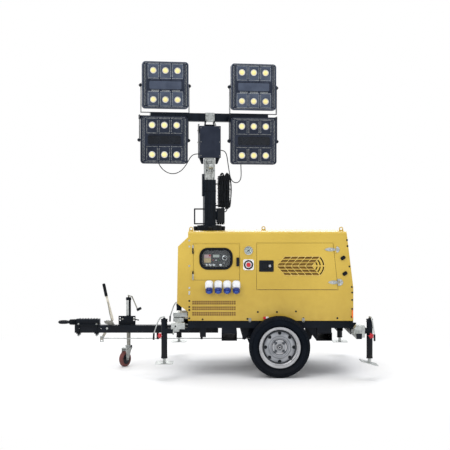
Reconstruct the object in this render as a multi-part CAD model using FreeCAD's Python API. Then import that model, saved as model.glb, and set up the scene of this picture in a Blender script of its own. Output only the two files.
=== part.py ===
import FreeCAD, Part
import math
import os

# Mobile lighting tower on a single-axle trailer, in millimetres.
# X runs rearward from the tow eye, -Y is the control side, +Z is up.
# Everything is built with X = 0 at the axle; the last step moves the origin to the
# middle of the footprint, on the ground.

V = FreeCAD.Vector
os.makedirs("parts", exist_ok=True)

# ---------------------------------------------------------------- driving sizes
front_reach = 2224.0          # axle to the tip of the tow eye

tyre_radius = 292.0
tyre_width = 175.0
wheel_outer_y = 745.0         # outer face of the tyre
rim_radius = 198.0            # over the rim flange
rim_bead_radius = 180.0
rim_sheet = 5.0
hub_bore_radius = 29.0
stud_circle = 114.3
stud_count = 4
vent_count = 8

chassis_half_width = 552.0
rail_top = 526.0
rail_height = 68.0
rail_width = 50.0
rail_wall = 4.0

canopy_half_width = 560.0
canopy_front = -877.0
canopy_rear = 718.0
roof_rear = 651.0             # the rear face leans forward to this above the bend
canopy_bottom = 530.0
canopy_top = 1392.0
rear_bend_height = 847.0
nose_depth = 103.0
sheet = 3.0
roof_edge_radius = 26.0
roof_drop = 110.0             # height of the roof pressing down to the upper seam
seam_height = 827.0           # seam between the door band and the lower panel
seam_width = 2.5              # grooves that mark the seams
seam_depth = 1.2
panel_gap = 3.0               # reveal round doors

mast_x = -680.0
mast_turn = 10.0              # how far the mast head is turned at rest, degrees
mast_outer = 116.0
mast_wall = 5.0
mast_step = 15.0              # each section is this much narrower than the one outside
mast_sections_top = 1907.0
mast_foot = 545.0

bar_height = 2541.0           # middle of the crossbar
bar_length = 1206.0
bar_depth = 80.0
bar_rise = 82.0
lamp_offset = 454.0
lamp_width = 470.0
lamp_height = 472.0
lamp_depth = 86.0
lamp_corner = 34.0
upper_lamp_height = 2858.0
lower_lamp_height = 2297.0
lower_lamp_forward = 128.0
lower_lamp_shift = -26.0      # the lower pair is clamped this far towards the left
lamp_wall = 8.0
led_pitch_x = 123.0
led_pitch_z = 293.0
led_radius = 33.0
yoke_gap = 6.0                # lamp side to yoke arm
yoke_thickness = 6.0
yoke_width = 40.0

drawbar_height = 76.0
drawbar_width = 80.0
drawbar_top = 428.0
drawbar_wall = 5.0
drawbar_front = -2050.0

tow_eye_outer = 112.0
tow_eye_bore = 36.0
tow_eye_height = 457.0
tow_shaft_diameter = 50.0
running_clearance = 0.05      # radial, for shafts in bores
body_clearance = 0.4          # between faces of parts that move past each other

arm_size = 50.0
arm_wall = 4.0
sleeve_size = 62.0
front_sleeve_pitch = 66.0     # near and far arms lie side by side
rear_sleeve_pitch = 98.0
arm_reach = {"front": 900.0, "rear": 950.0}    # end of the arm from the middle of the trailer
sleeve_end = 540.0
jack_y = 800.0
jack_offset = 118.0
jack_diameter = 57.0
jack_wall = 3.0
foot_size = 168.0
foot_width = 190.0            # across the trailer
foot_corner = 14.0
foot_plate = 6.0
foot_height = 158.0           # underside of the foot above the ground
jack_bottom = 204.0
jack_top = 560.0
swivel_height = 462.0
rear_arm_x = 722.0
rear_near_foot_tilt = 15.0

jockey_x = -1512.0
jockey_y = 76.0               # clamped on the far side of the drawbar
jockey_tube_diameter = 48.0
jockey_inner_diameter = 40.0
jockey_top = 704.0
jockey_tube_bottom = 342.0
jockey_wheel_radius = 78.0
jockey_trail = 60.0
jockey_turn = 58.0            # how far the castor is turned at rest, degrees

lever_x = -1720.0
lever_z = 396.0
rod_y = 38.0                  # brake rod, below the far edge of the drawbar
rod_z = 286.0
rod_radius = 5.0

axle_height = tyre_radius
nodes = {}


# ---------------------------------------------------------------- shape helpers
def block(x0, x1, y0, y1, z0, z1):
    return Part.makeBox(x1 - x0, y1 - y0, z1 - z0, V(x0, y0, z0))


def rod(start, end, radius):
    a = V(*start)
    d = V(*end) - a
    return Part.makeCylinder(radius, d.Length, a, d)


def pipe(start, end, radius, wall):
    a = V(*start)
    d = V(*end) - a
    outer = Part.makeCylinder(radius, d.Length, a, d)
    return outer.cut(Part.makeCylinder(radius - wall, d.Length, a, d))


def ring(centre, axis, outer, inner, height):
    body = Part.makeCylinder(outer, height, V(*centre), V(*axis))
    return body.cut(Part.makeCylinder(inner, height, V(*centre), V(*axis)))


def square_tube_y(x, y0, y1, z, size, wall):
    outer = block(x - size / 2, x + size / 2, y0, y1, z - size / 2, z + size / 2)
    inner = size / 2 - wall
    return outer.cut(block(x - inner, x + inner, y0, y1, z - inner, z + inner))


def square_tube_z(x, y, size, wall, z0, z1):
    half = size / 2
    outer = block(x - half, x + half, y - half, y + half, z0, z1)
    inner = half - wall
    return outer.cut(block(x - inner, x + inner, y - inner, y + inner, z0, z1))


def plate_xz(points, y0, y1):
    """A flat plate whose outline is given as (x, z) points."""
    corners = [V(x, y0, z) for x, z in points]
    wire = Part.makePolygon(corners + [corners[0]])
    return Part.Face(wire).extrude(V(0, y1 - y0, 0))


def plate_yz(points, x0, x1):
    corners = [V(x0, y, z) for y, z in points]
    wire = Part.makePolygon(corners + [corners[0]])
    return Part.Face(wire).extrude(V(x1 - x0, 0, 0))


def revolve_y(points, centre_x, centre_z):
    """A solid turned about the Y direction; points are (radius, y)."""
    corners = [V(centre_x, y, centre_z + r) for r, y in points]
    wire = Part.makePolygon(corners + [corners[0]])
    return Part.Face(wire).revolve(V(centre_x, 0, centre_z), V(0, 1, 0), 360)


def rounded_plate(x0, x1, z0, z1, y0, y1, radius):
    """A plate standing in the XZ plane with rounded corners."""
    plate = block(x0, x1, y0, y1, z0, z1)
    corners = [e for e in plate.Edges if abs(e.tangentAt(e.FirstParameter).y) > 0.9]
    return plate.makeFillet(radius, corners)


def bent_bar(points, radius):
    """A round bar along straight runs, with a ball at each bend."""
    bar = rod(points[0], points[1], radius)
    for start, end in zip(points[1:-1], points[2:]):
        bar = bar.fuse([Part.makeSphere(radius, V(*start)), rod(start, end, radius)])
    return bar.removeSplitter()


def turned(shape, centre, axis, angle):
    copy = shape.copy()
    copy.rotate(V(*centre), V(*axis), angle)
    return copy


def mirrored_y(shape):
    return shape.mirror(V(0, 0, 0), V(0, 1, 0))


def bolt(centre, axis, head, height):
    """A hexagon bolt head standing on centre along axis."""
    across = head / 2 / math.cos(math.radians(30))
    corners = [V(across * math.cos(math.radians(60 * i)), across * math.sin(math.radians(60 * i)), 0)
               for i in range(7)]
    solid = Part.Face(Part.makePolygon(corners)).extrude(V(0, 0, height))
    solid.Placement = FreeCAD.Placement(V(*centre), FreeCAD.Rotation(V(0, 0, 1), V(*axis)))
    return solid


def add(name, *shapes):
    nodes.setdefault(name, []).extend(shapes)


def strap(points, width, y0, y1):
    """A flat bar along (x, z) points with rounded ends and corners."""
    pieces = []
    for (x0, z0), (x1, z1) in zip(points[:-1], points[1:]):
        length = math.hypot(x1 - x0, z1 - z0)
        nx = -(z1 - z0) / length * width / 2
        nz = (x1 - x0) / length * width / 2
        outline = [(x0 + nx, z0 + nz), (x1 + nx, z1 + nz), (x1 - nx, z1 - nz), (x0 - nx, z0 - nz)]
        pieces.append(plate_xz(outline, y0, y1))
    for x, z in points:
        pieces.append(rod((x, y0, z), (x, y1, z), width / 2))
    return pieces[0].fuse(pieces[1:]).removeSplitter()


# ---------------------------------------------------------------- wheels and axle
wheel_mid = wheel_outer_y - tyre_width / 2
bead_half = 66.0
drum_radius = 112.0
drum_inner = 34.0             # inner face of the drum from the wheel's middle
disc_face = 32.0              # bolting face of the disc, outward of the middle
spindle_radius = 17.0
axle_radius = 30.0


def tyre(side):
    half = tyre_width / 2
    tread = tyre_radius
    wall_mid = (rim_bead_radius + tread) / 2
    outline = [(rim_bead_radius, -bead_half + 6), (rim_bead_radius + 22, -bead_half),
               (wall_mid - 20, -half + 4), (wall_mid + 8, -half), (tread - 26, -half + 7),
               (tread - 9, -half + 19), (tread - 2, -half + 32)]
    groove_depth = 8.0
    groove_half = 4.5
    for groove in (-34.0, 0.0, 34.0):
        outline += [(tread, groove - groove_half), (tread - groove_depth, groove - groove_half + 1.5),
                    (tread - groove_depth, groove + groove_half - 1.5), (tread, groove + groove_half)]
    outline += [(r, -y) for r, y in reversed(outline[:7])]
    points = [(r, side * wheel_mid + y) for r, y in outline]
    return revolve_y(points, 0, axle_height)


def rim(side):
    """Pressed steel wheel: barrel with two flanges and a dished disc with round vents."""
    out = side * 1.0
    mid = side * wheel_mid
    edge = bead_half + rim_sheet
    well = rim_bead_radius - 14
    barrel = [(rim_radius, -edge), (rim_radius, -edge + rim_sheet - 1), (rim_bead_radius, -bead_half),
              (rim_bead_radius, -34), (well, -26), (well, 26), (rim_bead_radius, 34),
              (rim_bead_radius, bead_half), (rim_radius, edge - rim_sheet + 1), (rim_radius, edge),
              (rim_bead_radius - rim_sheet, edge), (rim_bead_radius - rim_sheet, 31),
              (well - rim_sheet, 23), (well - rim_sheet, -23), (rim_bead_radius - rim_sheet, -31),
              (rim_bead_radius - rim_sheet, -edge)]
    barrel_solid = revolve_y([(r, mid + y) for r, y in barrel], 0, axle_height)
    face = [(well - rim_sheet, 4), (150, 26), (128, 35), (110, 40), (99, 52), (91, 52), (84, 38),
            (74, disc_face), (hub_bore_radius, disc_face)]
    disc = [(r, mid + out * y) for r, y in face]
    disc += [(r, mid + out * (y - rim_sheet)) for r, y in reversed(face)]
    disc_solid = revolve_y(disc, 0, axle_height)
    vent_ring = 133.0
    vent_radius = 15.0
    cuts = []
    for i in range(vent_count):
        angle = 2 * math.pi * i / vent_count + math.pi / 2
        x = vent_ring * math.cos(angle)
        z = axle_height + vent_ring * math.sin(angle)
        cuts.append(rod((x, mid - 70, z), (x, mid + 70, z), vent_radius))
    return barrel_solid.fuse(disc_solid).cut(cuts).removeSplitter()


def hub(side):
    """Brake drum and hub with its wheel nuts and grease cap, one solid each."""
    out = side * 1.0
    mid = side * wheel_mid
    seat = mid + out * (disc_face - rim_sheet)
    inner = mid - out * drum_inner
    bore = spindle_radius + running_clearance
    drum = ring((0, min(seat, inner), axle_height), (0, 1, 0), drum_radius, bore, abs(seat - inner))
    collar_end = mid + out * 44.0
    collar = ring((0, min(seat, collar_end), axle_height), (0, 1, 0), hub_bore_radius - 0.5, bore,
                  abs(collar_end - seat))
    cap_end = collar_end + out * 12.0
    cap = rod((0, collar_end, axle_height), (0, cap_end, axle_height), hub_bore_radius - 3)
    solids = [drum.fuse(collar).fuse(cap).removeSplitter()]
    face = mid + out * disc_face
    for i in range(stud_count):
        angle = 2 * math.pi * (i + 0.5) / stud_count
        x = stud_circle / 2 * math.cos(angle)
        z = axle_height + stud_circle / 2 * math.sin(angle)
        solids.append(bolt((x, face, z), (0, out, 0), 19.0, 16.0))
    return solids


spring_y = 470.0
spring_front = -331.0
spring_rear = 300.0
spring_rise = 16.0
leaf_thickness = 8.0
leaf_width = 50.0
leaf_count = 3
spring_seat = axle_height + axle_radius + 6.0
spring_eye_radius = 19.0
spring_pin_radius = 8.0
spring_middle = (spring_front + spring_rear) / 2
spring_half = (spring_rear - spring_front) / 2
spring_curve = (spring_half ** 2 + spring_rise ** 2) / (2 * spring_rise)
main_leaf_bottom = spring_seat + leaf_thickness * (leaf_count - 1)
eye_height = main_leaf_bottom + leaf_thickness / 2 + spring_rise
clip_bolt_x = 40.0
clip_bolt_y = 33.0
clip_bolt_radius = 5.0
clip_half_x = clip_bolt_x + 12.0
clip_half_y = clip_bolt_y + 10.0


def leaf(half_length, place, y):
    """One curved leaf, half_length each way from its middle; place counts up from the lowest."""
    centre_z = main_leaf_bottom + spring_curve
    outer = centre_z - spring_seat - leaf_thickness * place
    inner = outer - leaf_thickness
    angle = math.asin(half_length / outer)
    def at(radius, a):
        return V(spring_middle + radius * math.sin(a), y - leaf_width / 2, centre_z - radius * math.cos(a))
    low = Part.Arc(at(outer, -angle), at(outer, 0), at(outer, angle)).toShape()
    high = Part.Arc(at(inner, angle), at(inner, 0), at(inner, -angle)).toShape()
    right = Part.LineSegment(at(outer, angle), at(inner, angle)).toShape()
    left = Part.LineSegment(at(inner, -angle), at(outer, -angle)).toShape()
    return Part.Face(Part.Wire([low, right, high, left])).extrude(V(0, leaf_width, 0))


def spring_pack(side):
    y = side * spring_y
    solids = []
    for i in range(leaf_count):
        length = spring_half - spring_eye_radius if i == leaf_count - 1 else spring_half * (0.5 + 0.22 * i)
        solids.append(leaf(length, i, y))
    for x in (spring_front, spring_rear):
        eye = ring((x, y - leaf_width / 2, eye_height), (0, 1, 0), spring_eye_radius,
                   spring_pin_radius + 1, leaf_width)
        solids[-1] = solids[-1].fuse(eye)
    top = main_leaf_bottom + leaf_thickness
    pad = block(-clip_half_x, clip_half_x, y - clip_half_y, y + clip_half_y, spring_seat - 7, spring_seat - 1)
    saddle = block(-clip_half_x, clip_half_x, y - clip_half_y, y + clip_half_y, top + 1, top + 9)
    for dx in (-clip_bolt_x, clip_bolt_x):
        for dy in (-clip_bolt_y, clip_bolt_y):
            shank = rod((dx, y + dy, axle_height - axle_radius - 14), (dx, y + dy, top + 18),
                        clip_bolt_radius)
            pad = pad.cut(shank)
            saddle = saddle.cut(shank)
            solids.append(shank)
    solids += [pad.cut(rod((0, y - 60, axle_height), (0, y + 60, axle_height), axle_radius)), saddle]
    return solids


def build_running_gear():
    beam_end = wheel_mid - drum_inner - 6
    beam = rod((0, -beam_end, axle_height), (0, beam_end, axle_height), axle_radius)
    spindle_end = wheel_mid + 40
    for side in (-1, 1):
        spindle = rod((0, side * beam_end, axle_height), (0, side * spindle_end, axle_height),
                      spindle_radius)
        shoulder = rod((0, side * (beam_end - 1), axle_height), (0, side * (beam_end + 5.5), axle_height),
                       axle_radius + 8)
        beam = beam.fuse([spindle, shoulder])
    add("axle_and_springs", beam.removeSplitter())
    for side in (-1, 1):
        for solid in spring_pack(side):
            add("axle_and_springs", solid)
    for side, name in ((-1, "near"), (1, "far")):
        add("tyre_" + name, tyre(side))
        add("wheel_" + name, rim(side), *hub(side))


# ---------------------------------------------------------------- chassis
rail_bottom = rail_top - rail_height
rail_mid_y = chassis_half_width - rail_width / 2
pocket_width = 150.0
pocket_height = 76.0
pocket_top = 410.0
pocket_centres = (-479.0, 440.0)
pocket_wall = 5.0
arm_heights = {"front": rail_bottom + sleeve_size / 2, "rear": rail_bottom - sleeve_size / 2}
hanger_plate = 8.0
cross_member_width = 50.0
bed_y = 190.0                 # middle of the beams that carry the engine
battery_box = (-420.0, -250.0, -500.0, -320.0)


def rect_tube_x(x0, x1, y, z0, z1, width, wall):
    outer = block(x0, x1, y - width / 2, y + width / 2, z0, z1)
    return outer.cut(block(x0, x1, y - width / 2 + wall, y + width / 2 - wall, z0 + wall, z1 - wall))


def arm_line(end, side):
    """X of an outrigger arm: the far arms lie one sleeve pitch nearer the rear or the front."""
    if end == "front":
        return canopy_front - sleeve_size / 2 - (0 if side > 0 else front_sleeve_pitch)
    return rear_arm_x - (0 if side < 0 else rear_sleeve_pitch)


def build_chassis():
    rear_end = canopy_rear
    parts = []
    for side in (-1, 1):
        parts.append(rect_tube_x(canopy_front, rear_end, side * rail_mid_y, rail_bottom, rail_top,
                                 rail_width, rail_wall))
    inside = chassis_half_width - rail_width
    members = (canopy_front, -620.0, -200.0, 160.0, rear_end - cross_member_width)
    for x in members:
        parts.append(block(x, x + cross_member_width, -inside, inside, rail_bottom, rail_top))
    frame = parts[0].fuse(parts[1:])
    # hangers for the leaf springs, a pair of cheeks at each eye
    cheek_gap = leaf_width / 2 + 1.0
    for side in (-1, 1):
        y = side * spring_y
        for x in (spring_front, spring_rear):
            top_half = 46.0
            outline = [(x - top_half, rail_bottom), (x + top_half, rail_bottom),
                       (x + 17, eye_height - 14), (x, eye_height - 26), (x - 17, eye_height - 14)]
            for face in (y - cheek_gap - hanger_plate, y + cheek_gap):
                cheek = plate_xz(outline, face, face + hanger_plate)
                frame = frame.fuse(cheek)
            bridge = block(x - top_half, x + top_half, y - cheek_gap - hanger_plate,
                           y + cheek_gap + hanger_plate, rail_bottom - 8, rail_bottom)
            frame = frame.fuse(bridge)
    # spring hangers stand under cross beams that carry them between the rails
    for x in (spring_front, spring_rear):
        frame = frame.fuse(block(x - 46, x + 46, -inside, inside, rail_bottom, rail_bottom + 40))
    # fork pockets under the rails
    for x in pocket_centres:
        half = pocket_width / 2
        y_end = chassis_half_width - 6
        outer = block(x - half, x + half, -y_end, y_end, pocket_top - pocket_height, pocket_top)
        hollow = block(x - half + pocket_wall, x + half - pocket_wall, -y_end, y_end,
                       pocket_top - pocket_height + pocket_wall, pocket_top - pocket_wall)
        frame = frame.fuse(outer.cut(hollow))
        for side in (-1, 1):
            y0 = side * rail_mid_y - 20
            frame = frame.fuse(block(x - half + 6, x + half - 6, y0, y0 + 40, pocket_top, rail_bottom))
    # sloping gusset between the rear spring hanger and the rear fork pocket
    gusset_x = pocket_centres[1] - pocket_width / 2
    for side in (-1, 1):
        y0 = side * rail_mid_y - 4
        outline = [(gusset_x - 106, rail_bottom), (gusset_x, rail_bottom), (gusset_x, pocket_top - 60)]
        frame = frame.fuse(plate_xz(outline, y0, y0 + 8))
    # sleeves for the outrigger arms
    for end in ("front", "rear"):
        for side in (-1, 1):
            x = arm_line(end, side)
            y_outer = side * sleeve_end
            y_inner = -side * sleeve_end * 0.45
            wall = (sleeve_size - arm_size) / 2 - body_clearance
            sleeve = square_tube_y(x, min(y_outer, y_inner), max(y_outer, y_inner), arm_heights[end],
                                   sleeve_size, wall)
            frame = frame.fuse(sleeve)
    # bars under the rails that carry the front sleeves, and over the rear ones
    front_reach_x = arm_line("front", -1) - sleeve_size / 2
    rear_reach_x = arm_line("rear", -1) + sleeve_size / 2
    bar_y = rail_mid_y - 42
    for side in (-1, 1):
        y0 = side * bar_y - 20
        frame = frame.fuse(block(front_reach_x, canopy_front + 60, y0, y0 + 40, rail_bottom - 36,
                                 rail_bottom))
        frame = frame.fuse(block(rear_end, rear_reach_x, y0, y0 + 40, rail_bottom, rail_bottom + 46))
    # stowage box and the ribbed tray above it, on the front sleeves of the control side
    sleeve_top = arm_heights["front"] + sleeve_size / 2
    box_front = front_reach_x - 17
    for x1, z0, z1 in ((box_front + 101, sleeve_top, sleeve_top + 35),
                       (canopy_front - 10, sleeve_top + 45, sleeve_top + 84)):
        box = block(box_front, x1, -540, -300, z0, z1)
        frame = frame.fuse(box.cut(block(box_front + 4, x1 - 4, -536, -299, z0 + 4, z1 - 4)))
    frame = frame.fuse(block(box_front + 20, box_front + 80, -500, -340, sleeve_top + 34, sleeve_top + 46))
    # hanging bracket ahead of the front fork pocket
    for side in (-1, 1):
        y0 = side * rail_mid_y - 20
        frame = frame.fuse(block(-763, -705, y0, y0 + 40, rail_bottom - 88, rail_bottom))
    # pedestal under the mast foot
    frame = frame.fuse(block(mast_x - 110, mast_x + 110, -110, 110, rail_bottom, rail_top))
    # hanger that guides the brake rod
    guide_y = rod_y - 9
    hanger = block(spring_front - 12, spring_front + 12, guide_y, guide_y + 18, rod_z - 10, rail_bottom)
    frame = frame.fuse(hanger.cut(rod((spring_front - 20, rod_y, rod_z), (spring_front + 20, rod_y, rod_z),
                                      rod_radius + body_clearance)))
    # bed of the engine
    for side in (-1, 1):
        y0 = side * bed_y - 30
        frame = frame.fuse(block(-200, rear_end - 20, y0, y0 + 60, rail_top - 20, rail_top))
    # tray of the battery on the front spring beam
    x0, x1, y0, y1 = battery_box
    frame = frame.fuse(block(x0 - 8, x1 + 8, y0 - 6, y1 + 8, rail_top - 4, rail_top))
    frame = frame.fuse(block(spring_front - 46, spring_front + 46, y0, y1, rail_bottom + 38, rail_top - 3))
    pins = []
    pin_half = cheek_gap + hanger_plate + 6
    for side in (-1, 1):
        y = side * spring_y
        for x in (spring_front, spring_rear):
            pins.append(rod((x, y - pin_half, eye_height), (x, y + pin_half, eye_height), spring_pin_radius))
    add("chassis_frame", frame.cut(pins).removeSplitter(), *pins)


# ---------------------------------------------------------------- drawbar and coupling
drawbar_bottom = drawbar_top - drawbar_height
drawbar_rear = -590.0
drawbar_holes = (drawbar_front + 40.0, drawbar_front + 264.0)
coupling_front = -2034.0
coupling_rear = -1796.0
coupling_half = 34.0
coupling_bottom = drawbar_top
coupling_top = tow_eye_height + tow_shaft_diameter / 2 + 9.0
clamp_bolt_y = 49.0
lever_gap = 9.0               # drawbar's side to the lever
lever_thickness = 8.0
lever_throw = 65.0            # how far ahead of its pivot the lever pulls the rod
lever_pivot_radius = 9.0
lever_pin_radius = 6.0
lever_slack = 2.0             # lost motion of the pin in the rod's slot
rod_end = -165.0


clamp_height = 480.0
jockey_plate = 6.0
jockey_inner_radius = jockey_inner_diameter / 2
stem_bottom = 214.0


def build_drawbar():
    beam = rect_tube_x(drawbar_front, drawbar_rear, 0, drawbar_bottom, drawbar_top, drawbar_width,
                       drawbar_wall)
    for x in drawbar_holes:
        beam = beam.cut(rod((x, -drawbar_width, drawbar_bottom + drawbar_height / 2),
                            (x, drawbar_width, drawbar_bottom + drawbar_height / 2), 9.0))
    # spacers up to the cross members
    for x in (canopy_front, -620.0):
        beam = beam.fuse(block(x, x + cross_member_width * 0.6, -38, 38, drawbar_top, rail_bottom))
    # plate that carries the jockey clamp, with spare bolt holes at its corners
    far_y = drawbar_width / 2
    plate = block(jockey_x - 100, jockey_x + 74, far_y, far_y + jockey_plate, drawbar_bottom + 20,
                  drawbar_top + 88)
    for x in (jockey_x - 84, jockey_x + 58):
        for z in (clamp_height - 9, clamp_height + 17):
            plate = plate.cut(rod((x, far_y - 1, z), (x, far_y + jockey_plate + 1, z), 6.5))
    beam = beam.fuse(plate)
    # pivot plate of the handbrake lever
    beam = beam.fuse(plate_xz([(lever_x - 40, 360), (lever_x + 74, 360), (lever_x + 74, 424),
                               (lever_x - 40, 424)], far_y, far_y + lever_gap - 2))
    beam = beam.fuse(rod((lever_x, -far_y - 8, lever_z), (lever_x, far_y + lever_gap + 15, lever_z),
                         lever_pivot_radius))
    # guides of the brake rod
    for x in (-1210.0, -760.0):
        drop = block(x - 12, x + 12, rod_y - 9, rod_y + 9, rod_z - 10, rod_z + 12)
        drop = drop.fuse(block(x - 12, x + 12, rod_y - 6, rod_y + 2, rod_z + 10, drawbar_bottom))
        drop = drop.cut(rod((x - 20, rod_y, rod_z), (x + 20, rod_y, rod_z), rod_radius + body_clearance))
        beam = beam.fuse(drop)
    add("drawbar", beam.removeSplitter())


def build_coupling():
    length = coupling_rear - coupling_front
    body = block(coupling_front, coupling_rear, -coupling_half, coupling_half, coupling_bottom,
                 coupling_top)
    edges = [e for e in body.Edges if abs(e.tangentAt(e.FirstParameter).x) > 0.9
             and e.CenterOfMass.z > tow_eye_height]
    body = body.makeFillet(12.0, edges)
    base = block(coupling_front, coupling_rear, -coupling_half - 26, coupling_half + 26, coupling_bottom,
                 coupling_bottom + 10)
    body = body.fuse(base)
    rib_count = 7
    for i in range(rib_count):
        x = coupling_front + 30 + (length - 66) * i / (rib_count - 1)
        body = body.fuse(block(x, x + 7, -coupling_half + 10, coupling_half - 10, coupling_top - 2,
                               coupling_top + 5))
        body = body.fuse(block(x, x + 7, -coupling_half - 3, coupling_half + 3, coupling_bottom + 8,
                               tow_eye_height + 4))
    bore = tow_shaft_diameter / 2 + running_clearance
    body = body.cut(rod((coupling_front - 10, 0, tow_eye_height), (coupling_rear - 20, 0, tow_eye_height),
                        bore))
    add("drawbar", body.removeSplitter())
    for x in (coupling_front + 24, coupling_rear - 30):
        clamp = block(x - 22, x + 22, -clamp_bolt_y - 12, clamp_bolt_y + 12, drawbar_bottom - 8,
                      drawbar_bottom)
        for side in (-1, 1):
            y = side * clamp_bolt_y
            clamp = clamp.cut(rod((x, y, drawbar_bottom - 10), (x, y, drawbar_bottom + 2), 6.1))
            add("drawbar", bolt((x, y, coupling_bottom + 10), (0, 0, 1), 19, 12))
            shank = rod((x, y, drawbar_bottom - 34), (x, y, coupling_bottom), 6.0)
            nut = bolt((x, y, drawbar_bottom - 20), (0, 0, 1), 19, 11)
            add("drawbar", shank.fuse(nut))
        add("drawbar", clamp)
    # the shaft with its ring eye
    eye_x = -front_reach + tow_eye_outer / 2
    ring_bar = (tow_eye_outer - 2 * tow_eye_bore) / 4
    eye = Part.makeTorus(tow_eye_outer / 2 - ring_bar, ring_bar, V(eye_x, 0, tow_eye_height), V(0, 0, 1))
    core = ring((eye_x, 0, tow_eye_height - 15), (0, 0, 1), tow_eye_outer / 2 - ring_bar, tow_eye_bore, 30)
    eye = eye.fuse(core).cut(rod((eye_x, 0, tow_eye_height - 40), (eye_x, 0, tow_eye_height + 40),
                                 tow_eye_bore))
    neck_start = eye_x + tow_eye_outer / 2 - 6
    neck = rod((neck_start, 0, tow_eye_height), (neck_start + 22, 0, tow_eye_height), 17.0)
    collar = rod((neck_start + 16, 0, tow_eye_height), (neck_start + 48, 0, tow_eye_height), 27.0)
    shaft = rod((neck_start + 40, 0, tow_eye_height), (coupling_rear - 90, 0, tow_eye_height),
                tow_shaft_diameter / 2)
    add("tow_shaft", eye.fuse([neck, collar, shaft]).removeSplitter())


def build_handbrake():
    y0 = drawbar_width / 2 + lever_gap
    y1 = y0 + lever_thickness
    arm = strap([(lever_x, lever_z), (lever_x + 46, 478), (lever_x - 17, 720)], 22, y0, y1)
    pin_x = lever_x - lever_throw
    pin_z = rod_z - 2
    lower = strap([(lever_x, lever_z), (pin_x, pin_z - 4)], 26, y0, y1)
    middle = (y0 + y1) / 2
    handle = rod((lever_x - 18, middle, 716), (lever_x - 44, middle, 840), 14.0)
    boss = rod((lever_x, y0, lever_z), (lever_x, y1 + 6, lever_z), 20)
    lever = arm.fuse([lower, handle, boss])
    lever = lever.cut(rod((lever_x, y0 - 4, lever_z), (lever_x, y1 + 20, lever_z),
                          lever_pivot_radius + running_clearance))
    lever = lever.fuse(rod((pin_x, y0 - 15, pin_z), (pin_x, y0 + 2, pin_z), lever_pin_radius))
    add("handbrake_lever", lever.removeSplitter())
    # rod with a slotted end that straddles the lever's pin
    slot_half = lever_pin_radius + lever_slack
    eye_y0 = y0 - 12
    eye_y1 = y0 - 3
    eye = block(pin_x - 17, pin_x + 20, eye_y0, eye_y1, rod_z - 38, rod_z + 22)
    eye = eye.cut(block(pin_x - slot_half, pin_x + slot_half, eye_y0 - 5, eye_y1 + 5, rod_z - 31, rod_z + 12))
    run = rod((pin_x + 18, rod_y, rod_z), (rod_end, rod_y, rod_z), rod_radius)
    equaliser = block(rod_end, rod_end + 8, rod_y - 45, rod_y + 45, rod_z - 14, rod_z + 14)
    add("brake_rod", eye.fuse([run, equaliser]).removeSplitter())


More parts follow.
